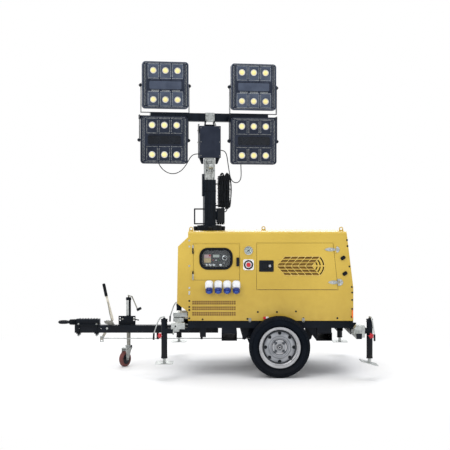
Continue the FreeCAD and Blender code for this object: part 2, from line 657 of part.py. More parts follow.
# ---------------------------------------------------------------- jockey wheel
def build_jockey():
    centre = (jockey_x, jockey_y)
    outer_radius = jockey_tube_diameter / 2
    bore = jockey_inner_radius + running_clearance
    tube = pipe((*centre, jockey_tube_bottom), (*centre, jockey_top - 12), outer_radius, outer_radius - bore)
    lid = rod((*centre, jockey_top - 12), (*centre, jockey_top), outer_radius + 3)
    lid = lid.cut(rod((*centre, jockey_top - 14), (*centre, jockey_top + 2), 7 + running_clearance))
    add("jockey_tube", tube.fuse(lid).removeSplitter())
    clamp = block(jockey_x - 40, jockey_x + 40, drawbar_width / 2 + jockey_plate, jockey_y,
                  clamp_height - 28, clamp_height + 28)
    clamp = clamp.cut(rod((*centre, clamp_height - 60), (*centre, clamp_height + 60), outer_radius))
    cover = block(jockey_x - 40, jockey_x + 40, jockey_y + 1, jockey_y + outer_radius + 8,
                  clamp_height - 24, clamp_height + 24)
    cover = cover.cut(rod((*centre, clamp_height - 60), (*centre, clamp_height + 60), outer_radius))
    add("jockey_tube", clamp, cover)
    # sliding stem, keyed against turning
    stem = rod((*centre, stem_bottom), (*centre, jockey_top - 60), jockey_inner_radius)
    stem = stem.cut(rod((*centre, stem_bottom + 40), (*centre, jockey_top - 50), 12.0))
    pivot = rod((*centre, stem_bottom - 22), (*centre, stem_bottom), 11.0)
    add("jockey_stem", stem.fuse(pivot).removeSplitter())
    # castor fork, turned about the stem
    wheel_z = jockey_wheel_radius
    tail = jockey_x - jockey_trail
    head = block(jockey_x - 24, jockey_x + 24, jockey_y - 24, jockey_y + 24, stem_bottom - 21,
                 stem_bottom - body_clearance)
    bridge = block(tail - 20, jockey_x + 24, jockey_y - 32, jockey_y + 32, stem_bottom - 29, stem_bottom - 20)
    fork = head.fuse(bridge)
    for side in (-1, 1):
        y = jockey_y + side * 29
        cheek = plate_xz([(jockey_x + 16, stem_bottom - 22), (tail - 20, stem_bottom - 22),
                          (tail - 16, wheel_z - 12), (tail + 16, wheel_z - 12)], y - 3, y + 3)
        fork = fork.fuse(cheek)
    fork = fork.cut(rod((*centre, stem_bottom - 22), (*centre, stem_bottom + 2), 11.0 + running_clearance))
    axle = rod((tail, jockey_y - 36, wheel_z), (tail, jockey_y + 36, wheel_z), 7.0)
    fork = fork.fuse(axle).removeSplitter()
    add("jockey_fork", turned(fork, (jockey_x, jockey_y, 0), (0, 0, 1), jockey_turn))
    half = 23.0
    outline = [(7.0 + running_clearance, -25), (16, -25), (16, -half + 4),
               (jockey_wheel_radius - 22, -half + 4),
               (jockey_wheel_radius - 20, -half), (jockey_wheel_radius - 8, -half),
               (jockey_wheel_radius, -half + 8), (jockey_wheel_radius, half - 8),
               (jockey_wheel_radius - 8, half), (jockey_wheel_radius - 20, half),
               (jockey_wheel_radius - 22, half - 4), (16, half - 4), (16, 25), (7.0 + running_clearance, 25)]
    wheel = revolve_y([(r, jockey_y + y) for r, y in outline], tail, wheel_z)
    add("jockey_wheel", turned(wheel, (jockey_x, jockey_y, 0), (0, 0, 1), jockey_turn))
    # crank on the screw
    screw = rod((*centre, jockey_top - 200), (*centre, jockey_top + 22), 7.0)
    end = (jockey_x + 93, jockey_y, jockey_top - 127)
    arm = bent_bar([(jockey_x, jockey_y, jockey_top + 16), (jockey_x + 34, jockey_y, jockey_top + 10), end],
                   6.0)
    grip = rod((end[0] - 6, end[1], end[2] - 5), (end[0] + 36, end[1], end[2] + 17), 12.0)
    add("jockey_crank", screw.fuse([arm, grip]).removeSplitter())


# ---------------------------------------------------------------- outriggers
swivel_pin_radius = 19.0
swivel_boss_radius = 28.0
hub_depth = {"front": 9.0, "rear": 43.0}      # arm's face to the jack's flange
housing_top = 516.0
housing_half = 45.0
housing_wall = 5.0
jack_bore = jack_diameter / 2 - jack_wall
arm_cap = 6.0
saddle_depth = 38.0
saddle_height = 58.0
saddle_ahead = 48.0
saddle_behind = 79.0
foot_pivot_height = 30.0      # foot pin above the underside of the foot
screw_radius = 8.0
knuckle_height = 32.0         # fold pin of the crank above the jack's tube
knuckle_radius = 8.0
knuckle_half = 4.0
fold_pin_radius = 3.5
crank_path = [(16, 0), (36, -6), (60, -44), (98, -158)]    # reach and height from the fold pin
crank_grip = [(98, -154), (101, -216)]
crank_rest = {"front": 0.0, "rear": -71.0}    # the rear cranks are left pointing outward


def jack_line(end, side):
    return arm_line(end, side) + (-jack_offset if end == "front" else jack_offset)


def knuckle_and_crank(x, y, out):
    """Lug on top of the jack's screw and the crank that folds on it, before they are turned."""
    pin_z = jack_top + knuckle_height
    lug = block(x - 6, x + 6, y - knuckle_half, y + knuckle_half, jack_top + 20, pin_z)
    lug = lug.fuse(rod((x, y - knuckle_half, pin_z), (x, y + knuckle_half, pin_z), knuckle_radius))
    lug = lug.cut(rod((x, y - 9, pin_z), (x, y + 9, pin_z), fold_pin_radius + running_clearance))
    inner = knuckle_half + body_clearance
    outer = inner + 3.6
    parts = []
    for y0, y1 in ((y - outer, y - inner), (y + inner, y + outer)):
        x0, x1 = sorted((x, x + out * 22))
        parts.append(block(x0, x1, y0, y1, pin_z - 6, pin_z + 6))
        parts.append(rod((x, y0, pin_z), (x, y1, pin_z), knuckle_radius))
    x0, x1 = sorted((x + out * (knuckle_radius + 1.5), x + out * 22))
    parts.append(block(x0, x1, y - outer, y + outer, pin_z - 6, pin_z + 6))
    parts.append(bent_bar([(x + out * r, y, pin_z + h) for r, h in crank_path], 6.0))
    parts.append(rod(*[(x + out * r, y, pin_z + h) for r, h in crank_grip], 9.0))
    pin = rod((x, y - outer, pin_z), (x, y + outer, pin_z), fold_pin_radius)
    return lug, pin.fuse(parts).removeSplitter()


def arm_saddle(arm_x, side):
    """Short tube across the front arm's end, with a hole for the travel lock."""
    near, far = sorted((side * (arm_reach["front"] - saddle_depth), side * arm_reach["front"]))
    x0, x1 = arm_x - saddle_ahead, arm_x + saddle_behind
    low = arm_heights["front"] - 2
    tube = block(x0, x1, near, far, low, low + saddle_height)
    tube = tube.cut(block(x0 - 1, x1 + 1, near + arm_wall, far - arm_wall, low + arm_wall,
                          low + saddle_height - arm_wall))
    lock_z = low + saddle_height / 2
    return tube.cut(rod((arm_x - 8, near - 1, lock_z), (arm_x - 8, far + 1, lock_z), 6.0))


def build_outrigger(end, side):
    name = end + ("_near" if side < 0 else "_far")
    out = -1.0 if end == "front" else 1.0       # from the arm towards the jack
    arm_x = arm_line(end, side)
    x = jack_line(end, side)
    y = side * jack_y
    arm_z = arm_heights[end]
    inner_end = side * 300.0
    outer_end = side * (arm_reach[end] - arm_cap)
    arm = square_tube_y(arm_x, min(inner_end, outer_end), max(inner_end, outer_end), arm_z, arm_size,
                        arm_wall)
    cap = block(arm_x - arm_size / 2, arm_x + arm_size / 2, min(outer_end, side * arm_reach[end]),
                max(outer_end, side * arm_reach[end]), arm_z - arm_size / 2, arm_z + arm_size / 2)
    face = arm_x + out * arm_size / 2
    plate_end = face + out * hub_depth[end]
    if end == "front":
        hexagon = [(y + 42 * math.cos(math.radians(60 * i)),
                    swivel_height + 42 * math.sin(math.radians(60 * i)))
                   for i in range(6)]
        plate = plate_yz(hexagon, min(face, plate_end), max(face, plate_end))
        plate = plate.fuse(block(min(face, plate_end), max(face, plate_end), y - 34, y + 34,
                                 min(arm_z - arm_size / 2, swivel_height - 10), swivel_height))
        plate = plate.fuse(arm_saddle(arm_x, side))
    else:
        # folded housing over the arm's end that carries the swivel
        low = arm_z - arm_size / 2
        back = arm_x - 32
        plate = plate_xz([(back, arm_z), (back, housing_top - 30), (back + 22, housing_top),
                          (plate_end, housing_top), (plate_end, low), (arm_x, low)],
                         y - housing_half, y + housing_half)
        plate = plate.cut(block(arm_x - 10, plate_end - 2 * housing_wall, y - housing_half + housing_wall,
                                y + housing_half - housing_wall, arm_z + arm_size / 2,
                                housing_top - housing_wall))
    jack_face = x - out * jack_diameter / 2
    flange_face = plate_end + out * body_clearance
    pin_end = jack_face - out * 6.0
    pin = rod((plate_end - out * 2, y, swivel_height), (pin_end, y, swivel_height), swivel_pin_radius)
    add("arm_" + name, arm.fuse([cap, plate, pin]).removeSplitter())
    # outer tube of the jack, with the socket that turns on the arm's pin
    tube = pipe((x, y, jack_bottom), (x, y, jack_top), jack_diameter / 2, jack_diameter / 2 - jack_bore)
    socket = rod((flange_face, y, swivel_height), (x, y, swivel_height), swivel_boss_radius)
    flange = rod((flange_face, y, swivel_height), (flange_face + out * 8, y, swivel_height), 35.0)
    socket = socket.fuse(flange)
    socket = socket.cut(rod((flange_face - out * 5, y, swivel_height), (pin_end + out * 0.3, y,
                                                                        swivel_height),
                            swivel_pin_radius + running_clearance))
    socket = socket.cut(rod((x, y, jack_bottom), (x, y, jack_top), jack_bore))
    head = rod((x, y, jack_top), (x, y, jack_top + 14), jack_diameter / 2 + 3)
    screw = rod((x, y, jack_top - 70), (x, y, jack_top + 20), screw_radius)
    collar = rod((x, y, jack_top + 13), (x, y, jack_top + 22), 13.0)
    lug, crank = knuckle_and_crank(x, y, out)
    turn = crank_rest[end] * -side
    lug = turned(lug, (x, y, 0), (0, 0, 1), turn)
    jack = tube.fuse([socket, head, screw, collar, lug]).removeSplitter()
    add("jack_" + name, jack)
    add("crank_" + name, turned(crank, (x, y, 0), (0, 0, 1), turn))
    # sliding leg
    leg_low = foot_height + foot_pivot_height
    leg = pipe((x, y, leg_low + 16), (x, y, jack_top - 60), jack_bore - running_clearance, 4.0)
    plug = rod((x, y, leg_low + 14), (x, y, leg_low + 26), jack_bore - running_clearance)
    tongue = block(x - 9, x + 9, y - 8, y + 8, leg_low, leg_low + 16)
    tongue = tongue.fuse(rod((x, y - 8, leg_low), (x, y + 8, leg_low), 9.0))
    tongue = tongue.cut(rod((x, y - 10, leg_low), (x, y + 10, leg_low), 5.0 + running_clearance))
    add("leg_" + name, leg.fuse([plug, tongue]).removeSplitter())
    # foot plate on a pin through the leg's tongue
    low = foot_height
    plate = block(x - foot_size / 2, x + foot_size / 2, y - foot_width / 2, y + foot_width / 2, low,
                  low + foot_plate)
    plate = plate.makeFillet(foot_corner, [e for e in plate.Edges
                                           if abs(e.tangentAt(e.FirstParameter).z) > 0.9])
    cheeks = []
    for dy in (-14.0, 8.0 + body_clearance):
        cheeks.append(block(x - 13, x + 13, y + dy, y + dy + 14.0 - 8.0 - body_clearance,
                            low + foot_plate - 1,
                            leg_low + 9))
    pin = rod((x, y - 16, leg_low), (x, y + 16, leg_low), 5.0)
    foot = plate.fuse(cheeks + [pin]).removeSplitter()
    tilt = rear_near_foot_tilt if name == "rear_near" else 0.0
    add("foot_" + name, turned(foot, (x, y, leg_low), (0, 1, 0), tilt))


def build_outriggers():
    for end in ("front", "rear"):
        for side in (-1, 1):
            build_outrigger(end, side)


# ---------------------------------------------------------------- canopy
seam_top = canopy_top - roof_drop
door_left = -824.0
door_right = -381.0
door_bottom = 924.0
door_top = 1271.0
window_width = 280.0
window_height = 170.0
window_centre = (-607.0, 1128.5)
big_door_left = -214.0
big_door_right = 569.0
big_door_lean = 48.0
big_door_bottom = seam_height + 3.0
big_door_top = seam_top - 3.0
hinge_pin_radius = 3.0
knuckle_radius = 6.0
skin_y = -canopy_half_width
door_pin_y = skin_y - knuckle_radius - 0.3
socket_xs = [-673.0 + 87.2 * i for i in range(4)]
vent_left = -836.0
vent_pitch = 21.2
vent_columns = 20
vent_rows = (721.0, 668.0, 615.0)
mast_opening = 90.0
stop_x = -294.0
stop_z = 1071.0
stop_stem_radius = 15.0
stop_head_radius = 21.0
gauge_x = -296.0
gauge_z = 1208.0
latch_x = -121.0
latch_z = 1058.0
lifting_eyes = ((canopy_front + 28.0, -480.0), (-128.0, 0.0), (608.0, -480.0))


def rear_edge(z):
    """X of the rear face at a height."""
    if z <= rear_bend_height:
        return canopy_rear
    share = (z - rear_bend_height) / (canopy_top - rear_bend_height)
    return canopy_rear + share * (roof_rear - canopy_rear)


def side_outline(inset=0.0):
    return [(canopy_front, canopy_bottom), (canopy_rear - inset, canopy_bottom),
            (canopy_rear - inset, rear_bend_height), (rear_edge(seam_top) - inset, seam_top),
            (canopy_front, seam_top)]


def build_shell():
    outline = [(canopy_front, canopy_bottom), (canopy_rear, canopy_bottom), (canopy_rear, rear_bend_height),
               (roof_rear, canopy_top), (canopy_front, canopy_top)]
    outer = plate_xz(outline, -canopy_half_width, canopy_half_width)
    top_edges = [e for e in outer.Edges if e.CenterOfMass.z > canopy_top - 1
                 and abs(e.tangentAt(e.FirstParameter).x) > 0.9]
    outer = outer.makeFillet(roof_edge_radius, top_edges)
    hollow = [(canopy_front - 5, canopy_bottom - 5), (canopy_rear - sheet, canopy_bottom - 5),
              (canopy_rear - sheet, rear_bend_height), (roof_rear - sheet, canopy_top - sheet),
              (canopy_front - 5, canopy_top - sheet)]
    inner = plate_xz(hollow, -canopy_half_width + sheet, canopy_half_width - sheet)
    inner_edges = [e for e in inner.Edges if e.CenterOfMass.z > canopy_top - sheet - 1
                   and abs(e.tangentAt(e.FirstParameter).x) > 0.9]
    inner = inner.makeFillet(roof_edge_radius - sheet, inner_edges)
    shell = outer.cut(inner)
    for side in (-1, 1):
        y0 = min(side * canopy_half_width, side * (canopy_half_width - sheet))
        shell = shell.cut(plate_xz(side_outline(), y0, y0 + sheet))
    shell = shell.cut(rod((mast_x, 0, canopy_top - 20), (mast_x, 0, canopy_top + 20), mast_opening))
    # air outlet in the upright part of the rear face
    slot_width = 14.0
    slot_pitch = 30.0
    slot_count = 25
    cuts = []
    for i in range(slot_count):
        y = (i - (slot_count - 1) / 2) * slot_pitch
        cuts.append(block(canopy_rear - 30, canopy_rear + 10, y - slot_width / 2, y + slot_width / 2, 590,
                          800))
    shell = shell.cut(cuts)
    add("canopy_shell", shell)
    # lifting eyes bolted through the roof, one solid each
    for x, y in lifting_eyes:
        base = block(x - 26, x + 26, y - 20, y + 20, canopy_top, canopy_top + 5)
        eye = rod((x, y - 6, canopy_top + 24), (x, y + 6, canopy_top + 24), 20.0)
        eye = eye.fuse(block(x - 20, x + 20, y - 6, y + 6, canopy_top + 4, canopy_top + 24))
        eye = eye.cut(rod((x, y - 10, canopy_top + 24), (x, y + 10, canopy_top + 24), 11.0))
        add("canopy_shell", base.fuse(eye).removeSplitter())


def big_door_outline(gap=0.0):
    return [(big_door_left - gap, big_door_bottom - gap), (big_door_right + gap, big_door_bottom - gap),
            (big_door_right - big_door_lean + gap, big_door_top + gap), (big_door_left - gap,
                                                                         big_door_top + gap)]


big_hinge_gap = 9.0           # hinge axis behind the door's edge
big_hinge_heights = (901.0, 1218.0)
big_knuckle = 22.0            # length of each knuckle
big_lobe_half = 33.0          # half height of the leaf screwed to the panel
hinge_leaf = 4.0
hinge_gap = 0.4               # between knuckles
door_hinge_x = door_left - 5.0
door_hinge_bottoms = (924.0, 1175.0)
door_hinge_length = 86.0
door_knuckle = 28.0
big_hinge_axis = V(-big_door_lean, 0, big_door_top - big_door_bottom).normalize()


def big_hinge_x(z):
    share = (z - big_door_bottom) / (big_door_top - big_door_bottom)
    return big_door_right + big_hinge_gap - share * big_door_lean


def big_hinge_rod(x, z, start, end, radius):
    """A round piece on the side door's hinge line, from start to end along it."""
    a = V(x, door_pin_y, z) + big_hinge_axis * start
    b = V(x, door_pin_y, z) + big_hinge_axis * end
    return rod(tuple(a), tuple(b), radius)


vent_middle_z = 1059.0
chevron_first = -21.5         # tip of the first of the chevron ribs between the louvres
chevron_pitch = 68.0
chevron_columns = 5
chevron_slope = 0.86
chevron_rib = 7.0
louvre_rows = (16.0, 47.0, 79.0)              # middle of each row above and below the middle line
louvre_opening = 14.0
fan_radii = (49.0, 79.0, 112.0)
fan_angle = 46.0


def louvre_slots():
    """Slots pressed in the side door, between ribs that meet on the middle line."""
    slots = []
    half = louvre_opening / 2
    for column in range(chevron_columns):
        tip = chevron_first + column * chevron_pitch
        for row in louvre_rows:
            for hand in (-1, 1):
                outline = []
                for x, rise in ((tip + chevron_rib / 2, -half), (tip + chevron_pitch - chevron_rib / 2,
                                                                 -half),
                                (tip + chevron_pitch - chevron_rib / 2, half), (tip + chevron_rib / 2, half)):
                    height = row + rise
                    outline.append((x + chevron_slope * height, vent_middle_z + hand * height))
                slots.append(plate_xz(outline, skin_y - 5, skin_y + 10))
    return slots


def arc_slot(centre_x, centre_z, radius, width, start, end):
    """A slot through the skin that follows an arc, between two angles."""
    def at(r, a):
        return V(centre_x + r * math.cos(a), skin_y - 5, centre_z + r * math.sin(a))
    inner = radius - width / 2
    outer = radius + width / 2
    middle = (start + end) / 2
    edges = [Part.Arc(at(outer, start), at(outer, middle), at(outer, end)).toShape(),
             Part.LineSegment(at(outer, end), at(inner, end)).toShape(),
             Part.Arc(at(inner, end), at(inner, middle), at(inner, start)).toShape(),
             Part.LineSegment(at(inner, start), at(outer, start)).toShape()]
    return Part.Face(Part.Wire(edges)).extrude(V(0, 15, 0))


def fan_slots():
    """Arc slots that close the louvres at their right end."""
    centre_x = chevron_first + chevron_columns * chevron_pitch
    slots = []
    for radius in fan_radii:
        start = math.asin(chevron_rib / radius)
        for hand in (-1, 1):
            slots.append(arc_slot(centre_x, vent_middle_z, radius, louvre_opening - 2, hand * start,
                                  hand * math.radians(fan_angle)))
    return slots


def build_side(side):
    """Side panel, big door and their hinges, built on the near side and mirrored for the far one."""
    near = side < 0
    name = "near" if near else "far"
    panel = plate_xz(side_outline(), skin_y, skin_y + sheet)
    panel = panel.cut(plate_xz(big_door_outline(panel_gap), skin_y - 5, skin_y + 10))
    if near:
        panel = panel.cut(block(door_left - panel_gap, door_right + panel_gap, skin_y - 5, skin_y + 10,
                                door_bottom - panel_gap, door_top + panel_gap))
        panel = panel.cut(rod((stop_x, skin_y - 5, stop_z), (stop_x, skin_y + 10, stop_z),
                              stop_stem_radius + running_clearance))
        for x in socket_xs:
            panel = panel.cut(rod((x, skin_y - 5, 872), (x, skin_y + 10, 872), 24.0))
    slot_cuts = []
    for top in vent_rows:
        for sub in (0, 1):
            z1 = top - sub * 20.0
            for i in range(vent_columns):
                x = vent_left + i * vent_pitch
                slot_cuts.append(block(x, x + 10, skin_y - 5, skin_y + 10, z1 - 15, z1))
    panel = panel.cut(slot_cuts)
    for seam in (seam_top, seam_height):
        panel = panel.cut(block(canopy_front - 1, canopy_rear + 1, skin_y - 1, skin_y + seam_depth,
                                seam - seam_width / 2, seam + seam_width / 2))
    # stiffening returns along the top and bottom of the panel
    ledge = 18.0
    panel = panel.fuse(block(canopy_front + 10, rear_edge(seam_top) - 12, skin_y + sheet,
                             skin_y + sheet + ledge,
                             seam_top - sheet - 6, seam_top - 6))
    panel = panel.fuse(block(canopy_front + 10, canopy_rear - 12, skin_y + sheet, skin_y + sheet + ledge,
                             canopy_bottom, canopy_bottom + sheet))
    extras = []
    door = plate_xz(big_door_outline(), skin_y, skin_y + sheet)
    door = door.cut(louvre_slots() + fan_slots())
    door = door.cut(block(latch_x - 46, latch_x + 46, skin_y - 5, skin_y + 10, latch_z - 38, latch_z + 38))
    rim_inset = 8.0
    returns = [block(big_door_left + rim_inset, big_door_left + rim_inset + sheet, skin_y + sheet,
                     skin_y + 24, big_door_bottom + rim_inset, big_door_top - rim_inset),
               block(big_door_left + rim_inset, big_door_right - rim_inset - 20, skin_y + sheet, skin_y + 24,
                     big_door_bottom + rim_inset, big_door_bottom + rim_inset + sheet),
               block(big_door_left + rim_inset, big_door_right - big_door_lean - rim_inset - 20,
                     skin_y + sheet, skin_y + 24, big_door_top - rim_inset - sheet, big_door_top - rim_inset)]
    door = door.fuse(returns)
    for z in big_hinge_heights:
        hx = big_hinge_x(z)
        half = 1.5 * big_knuckle + hinge_gap
        middle_half = big_knuckle / 2
        # three knuckles on one pin, the middle one on the door
        lobe = plate_xz([(hx + 2, z - big_lobe_half), (hx + 2, z + big_lobe_half),
                         (hx + 22, z + big_lobe_half),
                         (hx + 42, z + 20), (hx + 50, z), (hx + 42, z - 20), (hx + 22, z - big_lobe_half)],
                        skin_y - hinge_leaf, skin_y)
        lobe = lobe.cut(block(hx - 10, hx + 14, skin_y - 14, skin_y, z - middle_half - 2,
                              z + middle_half + 2))
        for a, b in ((-half, -middle_half - hinge_gap), (middle_half + hinge_gap, half)):
            lobe = lobe.fuse(big_hinge_rod(hx, z, a, b, knuckle_radius))
        extras.append(lobe.fuse(big_hinge_rod(hx, z, -half, half, hinge_pin_radius)))
        strap_leaf = plate_xz([(hx - 2, z - 10), (hx - 2, z + 10), (hx - 9, z + 10), (hx - 24, z + 17),
                               (hx - 58, z + 17), (hx - 82, z + 10), (hx - 98, z), (hx - 82, z - 10),
                               (hx - 58, z - 17), (hx - 24, z - 17), (hx - 9, z - 10)],
                              skin_y - hinge_leaf, skin_y)
        strap_leaf = strap_leaf.fuse(big_hinge_rod(hx, z, -middle_half, middle_half, knuckle_radius))
        bore = hinge_pin_radius + running_clearance
        door = door.fuse(strap_leaf.cut(big_hinge_rod(hx, z, -half - 4, half + 4, bore)))
    panel_solids = [panel.removeSplitter()] + extras
    door_solid = door.removeSplitter()
    if near:
        # pieces carried by the control side only
        gauge = rod((gauge_x, skin_y - 8, gauge_z), (gauge_x, skin_y, gauge_z), 40.0)
        panel_solids.append(gauge.cut(rod((gauge_x, skin_y - 9, gauge_z), (gauge_x, skin_y - 3, gauge_z),
                                          34.0)))
        plate_half = 51.0
        stop_plate = rounded_plate(stop_x - plate_half, stop_x + plate_half, stop_z - plate_half,
                                   stop_z + plate_half, skin_y - 7, skin_y, 14.0)
        panel_solids.append(stop_plate.cut(rod((stop_x, skin_y - 12, stop_z), (stop_x, skin_y + 5, stop_z),
                                               stop_stem_radius + running_clearance)))
        hx = door_hinge_x
        for z0 in door_hinge_bottoms:
            z1 = z0 + door_hinge_length
            knuckles = []
            for a, b in ((z0, z0 + door_knuckle), (z1 - door_knuckle, z1)):
                knuckles.append(rod((hx, door_pin_y, a), (hx, door_pin_y, b), knuckle_radius))
            pin = rod((hx, door_pin_y, z0), (hx, door_pin_y, z1), hinge_pin_radius)
            panel_leaf = block(hx - 24, hx, skin_y - hinge_leaf, skin_y, z0, z1)
            panel_leaf = panel_leaf.cut(block(hx - 10, hx + 10, skin_y - 14, skin_y, z0 + door_knuckle,
                                              z1 - door_knuckle))
            panel_solids.append(panel_leaf.fuse(knuckles + [pin]))
    for solid in panel_solids:
        add("side_panel_" + name, solid if near else mirrored_y(solid))
    add("side_door_" + name, door_solid if near else mirrored_y(door_solid))


def build_control_door():
    door = block(door_left, door_right, skin_y, skin_y + sheet, door_bottom, door_top)
    wx, wz = window_centre
    hw = window_width / 2
    hh = window_height / 2
    opening = rounded_plate(wx - hw, wx + hw, wz - hh, wz + hh, skin_y - 5, skin_y + 10, 60.0)
    door = door.cut(opening)
    inset = 8.0
    for x0, x1, z0, z1 in ((door_left + inset, door_right - inset, door_bottom + inset,
                            door_bottom + inset + 3),
                           (door_left + inset, door_right - inset, door_top - inset - 3, door_top - inset),
                           (door_right - inset - 3, door_right - inset, door_bottom + inset,
                            door_top - inset)):
        door = door.fuse(block(x0, x1, skin_y + sheet, skin_y + 22, z0, z1))
    hx = door_hinge_x
    for bottom in door_hinge_bottoms:
        z0 = bottom + door_knuckle + hinge_gap
        z1 = bottom + door_hinge_length - door_knuckle - hinge_gap
        door_leaf = block(hx, hx + 26, skin_y - hinge_leaf, skin_y, z0, z1)
        door_leaf = door_leaf.fuse(rod((hx, door_pin_y, z0), (hx, door_pin_y, z1), knuckle_radius))
        bore = rod((hx, door_pin_y, z0 - 5), (hx, door_pin_y, z1 + 5), hinge_pin_radius + running_clearance)
        door = door.fuse(door_leaf.cut(bore))
    # upright latch
    latch_middle = door_right - 16.0
    door = door.fuse(rounded_plate(latch_middle - 14, latch_middle + 14, 1056, 1140, skin_y - 16, skin_y,
                                   6.0))
    add("control_door", door.removeSplitter())
    # rubber gasket and the pane it holds
    frame = 20.0
    outer = rounded_plate(wx - hw - frame, wx + hw + frame, wz - hh - frame, wz + hh + frame, skin_y - 6,
                          skin_y,
                          78.0)
    inner = rounded_plate(wx - hw + 4, wx + hw - 4, wz - hh + 4, wz + hh - 4, skin_y - 10, skin_y + 4, 56.0)
    add("control_door", outer.cut(inner))


def build_latch():
    tray = block(latch_x - 46, latch_x + 46, skin_y, skin_y + 16, latch_z - 38, latch_z + 38)
    tray = tray.fuse(rounded_plate(latch_x - 70, latch_x + 70, latch_z - 55, latch_z + 55, skin_y - 4,
                                   skin_y, 8))
    tray = tray.cut(block(latch_x - 42, latch_x + 20, skin_y - 6, skin_y + 13, latch_z - 33, latch_z + 33))
    tray = tray.cut(rod((latch_x - 36, skin_y - 1, latch_z - 33), (latch_x - 36, skin_y - 1, latch_z - 36),
                        3.0 + running_clearance))
    tray = tray.cut(rod((latch_x - 36, skin_y - 1, latch_z + 33), (latch_x - 36, skin_y - 1, latch_z + 36),
                        3.0 + running_clearance))
    lock = rod((latch_x + 33, skin_y - 8, latch_z), (latch_x + 33, skin_y - 4, latch_z), 11.0)
    add("side_door_near", tray.removeSplitter(), lock)
    paddle = block(latch_x - 40, latch_x + 14, skin_y - 3, skin_y + 1, latch_z - 29, latch_z + 29)
    paddle = paddle.fuse(rod((latch_x - 36, skin_y - 1, latch_z - 36), (latch_x - 36, skin_y - 1,
                                                                        latch_z + 36),
                             3.0))
    add("door_paddle", paddle.removeSplitter())


def build_nose():
    front = canopy_front - nose_depth
    top_lip = canopy_top - 54
    bottom_lip = canopy_bottom + 84
    outline = [(canopy_front, bottom_lip), (front - 4, bottom_lip + 84), (front + 6, top_lip - 92),
               (canopy_front, top_lip)]
    outer = plate_xz(outline, -canopy_half_width, canopy_half_width)
    hollow = [(canopy_front + 1, bottom_lip + sheet + 1), (front - 4 + sheet, bottom_lip + 84 + 2),
              (front + 6 + sheet, top_lip - 92 - 2), (canopy_front + 1, top_lip - sheet - 1)]
    shell = outer.cut(plate_xz(hollow, -canopy_half_width + sheet, canopy_half_width - sheet))
    cuts = []
    slot_count = 9
    for bank in (-300.0, 0.0, 300.0):
        for i in range(slot_count):
            z = bottom_lip + 130 + i * 46.0
            cuts.append(block(front - 20, front + 30, bank - 120, bank + 120, z, z + 14))
    shell = shell.cut(cuts)
    add("nose_cover", shell)
    # closing strips of the front face above and below the nose
    for z0, z1 in ((canopy_bottom, bottom_lip), (top_lip, canopy_top - roof_edge_radius)):
        add("nose_cover", block(canopy_front, canopy_front + sheet, -canopy_half_width + sheet,
                                canopy_half_width - sheet, z0, z1))


def build_controls():
    y0 = skin_y + 60.0
    panel = block(door_left + 12, door_right - 12, y0, y0 + sheet, door_bottom - 20, door_top - 8)
    frame_l = block(door_left + 12, door_left + 15, skin_y + 26, y0, door_bottom - 20, door_top - 8)
    frame_r = block(door_right - 15, door_right - 12, skin_y + 26, y0, door_bottom - 20, door_top - 8)
    shelf = block(door_left + 12, door_right - 12, skin_y + sheet, y0 + 60, door_bottom - 23,
                  door_bottom - 20)
    add("control_panel", panel.fuse([frame_l, frame_r, shelf]).removeSplitter())
    wx, wz = window_centre
    add("control_panel", rounded_plate(wx - 118, wx - 48, wz - 42, wz + 42, y0 - 16, y0, 5.0))
    add("control_panel", rounded_plate(wx - 36, wx + 40, wz + 6, wz + 44, y0 - 12, y0, 3.0))
    for i in range(3):
        x = wx - 28 + 26 * i
        add("control_panel", rod((x, y0 - 8, wz - 16), (x, y0, wz - 16), 7.0))
    add("control_panel", rod((wx + 86, y0 - 22, wz + 6), (wx + 86, y0, wz + 6), 17.0))
    for i in range(3):
        x = wx - 90 + 34 * i
        add("control_panel", rod((x, y0 - 10, wz - 66), (x, y0, wz - 66), 10.0))
    # stop button in the plate beside the door, with its contact block behind the skin
    head = rod((stop_x, skin_y - 30, stop_z), (stop_x, skin_y - 16, stop_z), stop_head_radius)
    stem = rod((stop_x, skin_y - 18, stop_z), (stop_x, skin_y + 12, stop_z), stop_stem_radius)
    add("stop_button", head.fuse(stem))
    contact = block(stop_x - 36, stop_x + 36, skin_y + sheet, skin_y + 50, stop_z - 36, stop_z + 36)
    add("control_panel", contact.cut(rod((stop_x, skin_y, stop_z), (stop_x, skin_y + 30, stop_z),
                                         stop_stem_radius + running_clearance)))


socket_tilt = 32.0            # collar faces down and out
socket_radius = 32.0
collar_length = 16.0


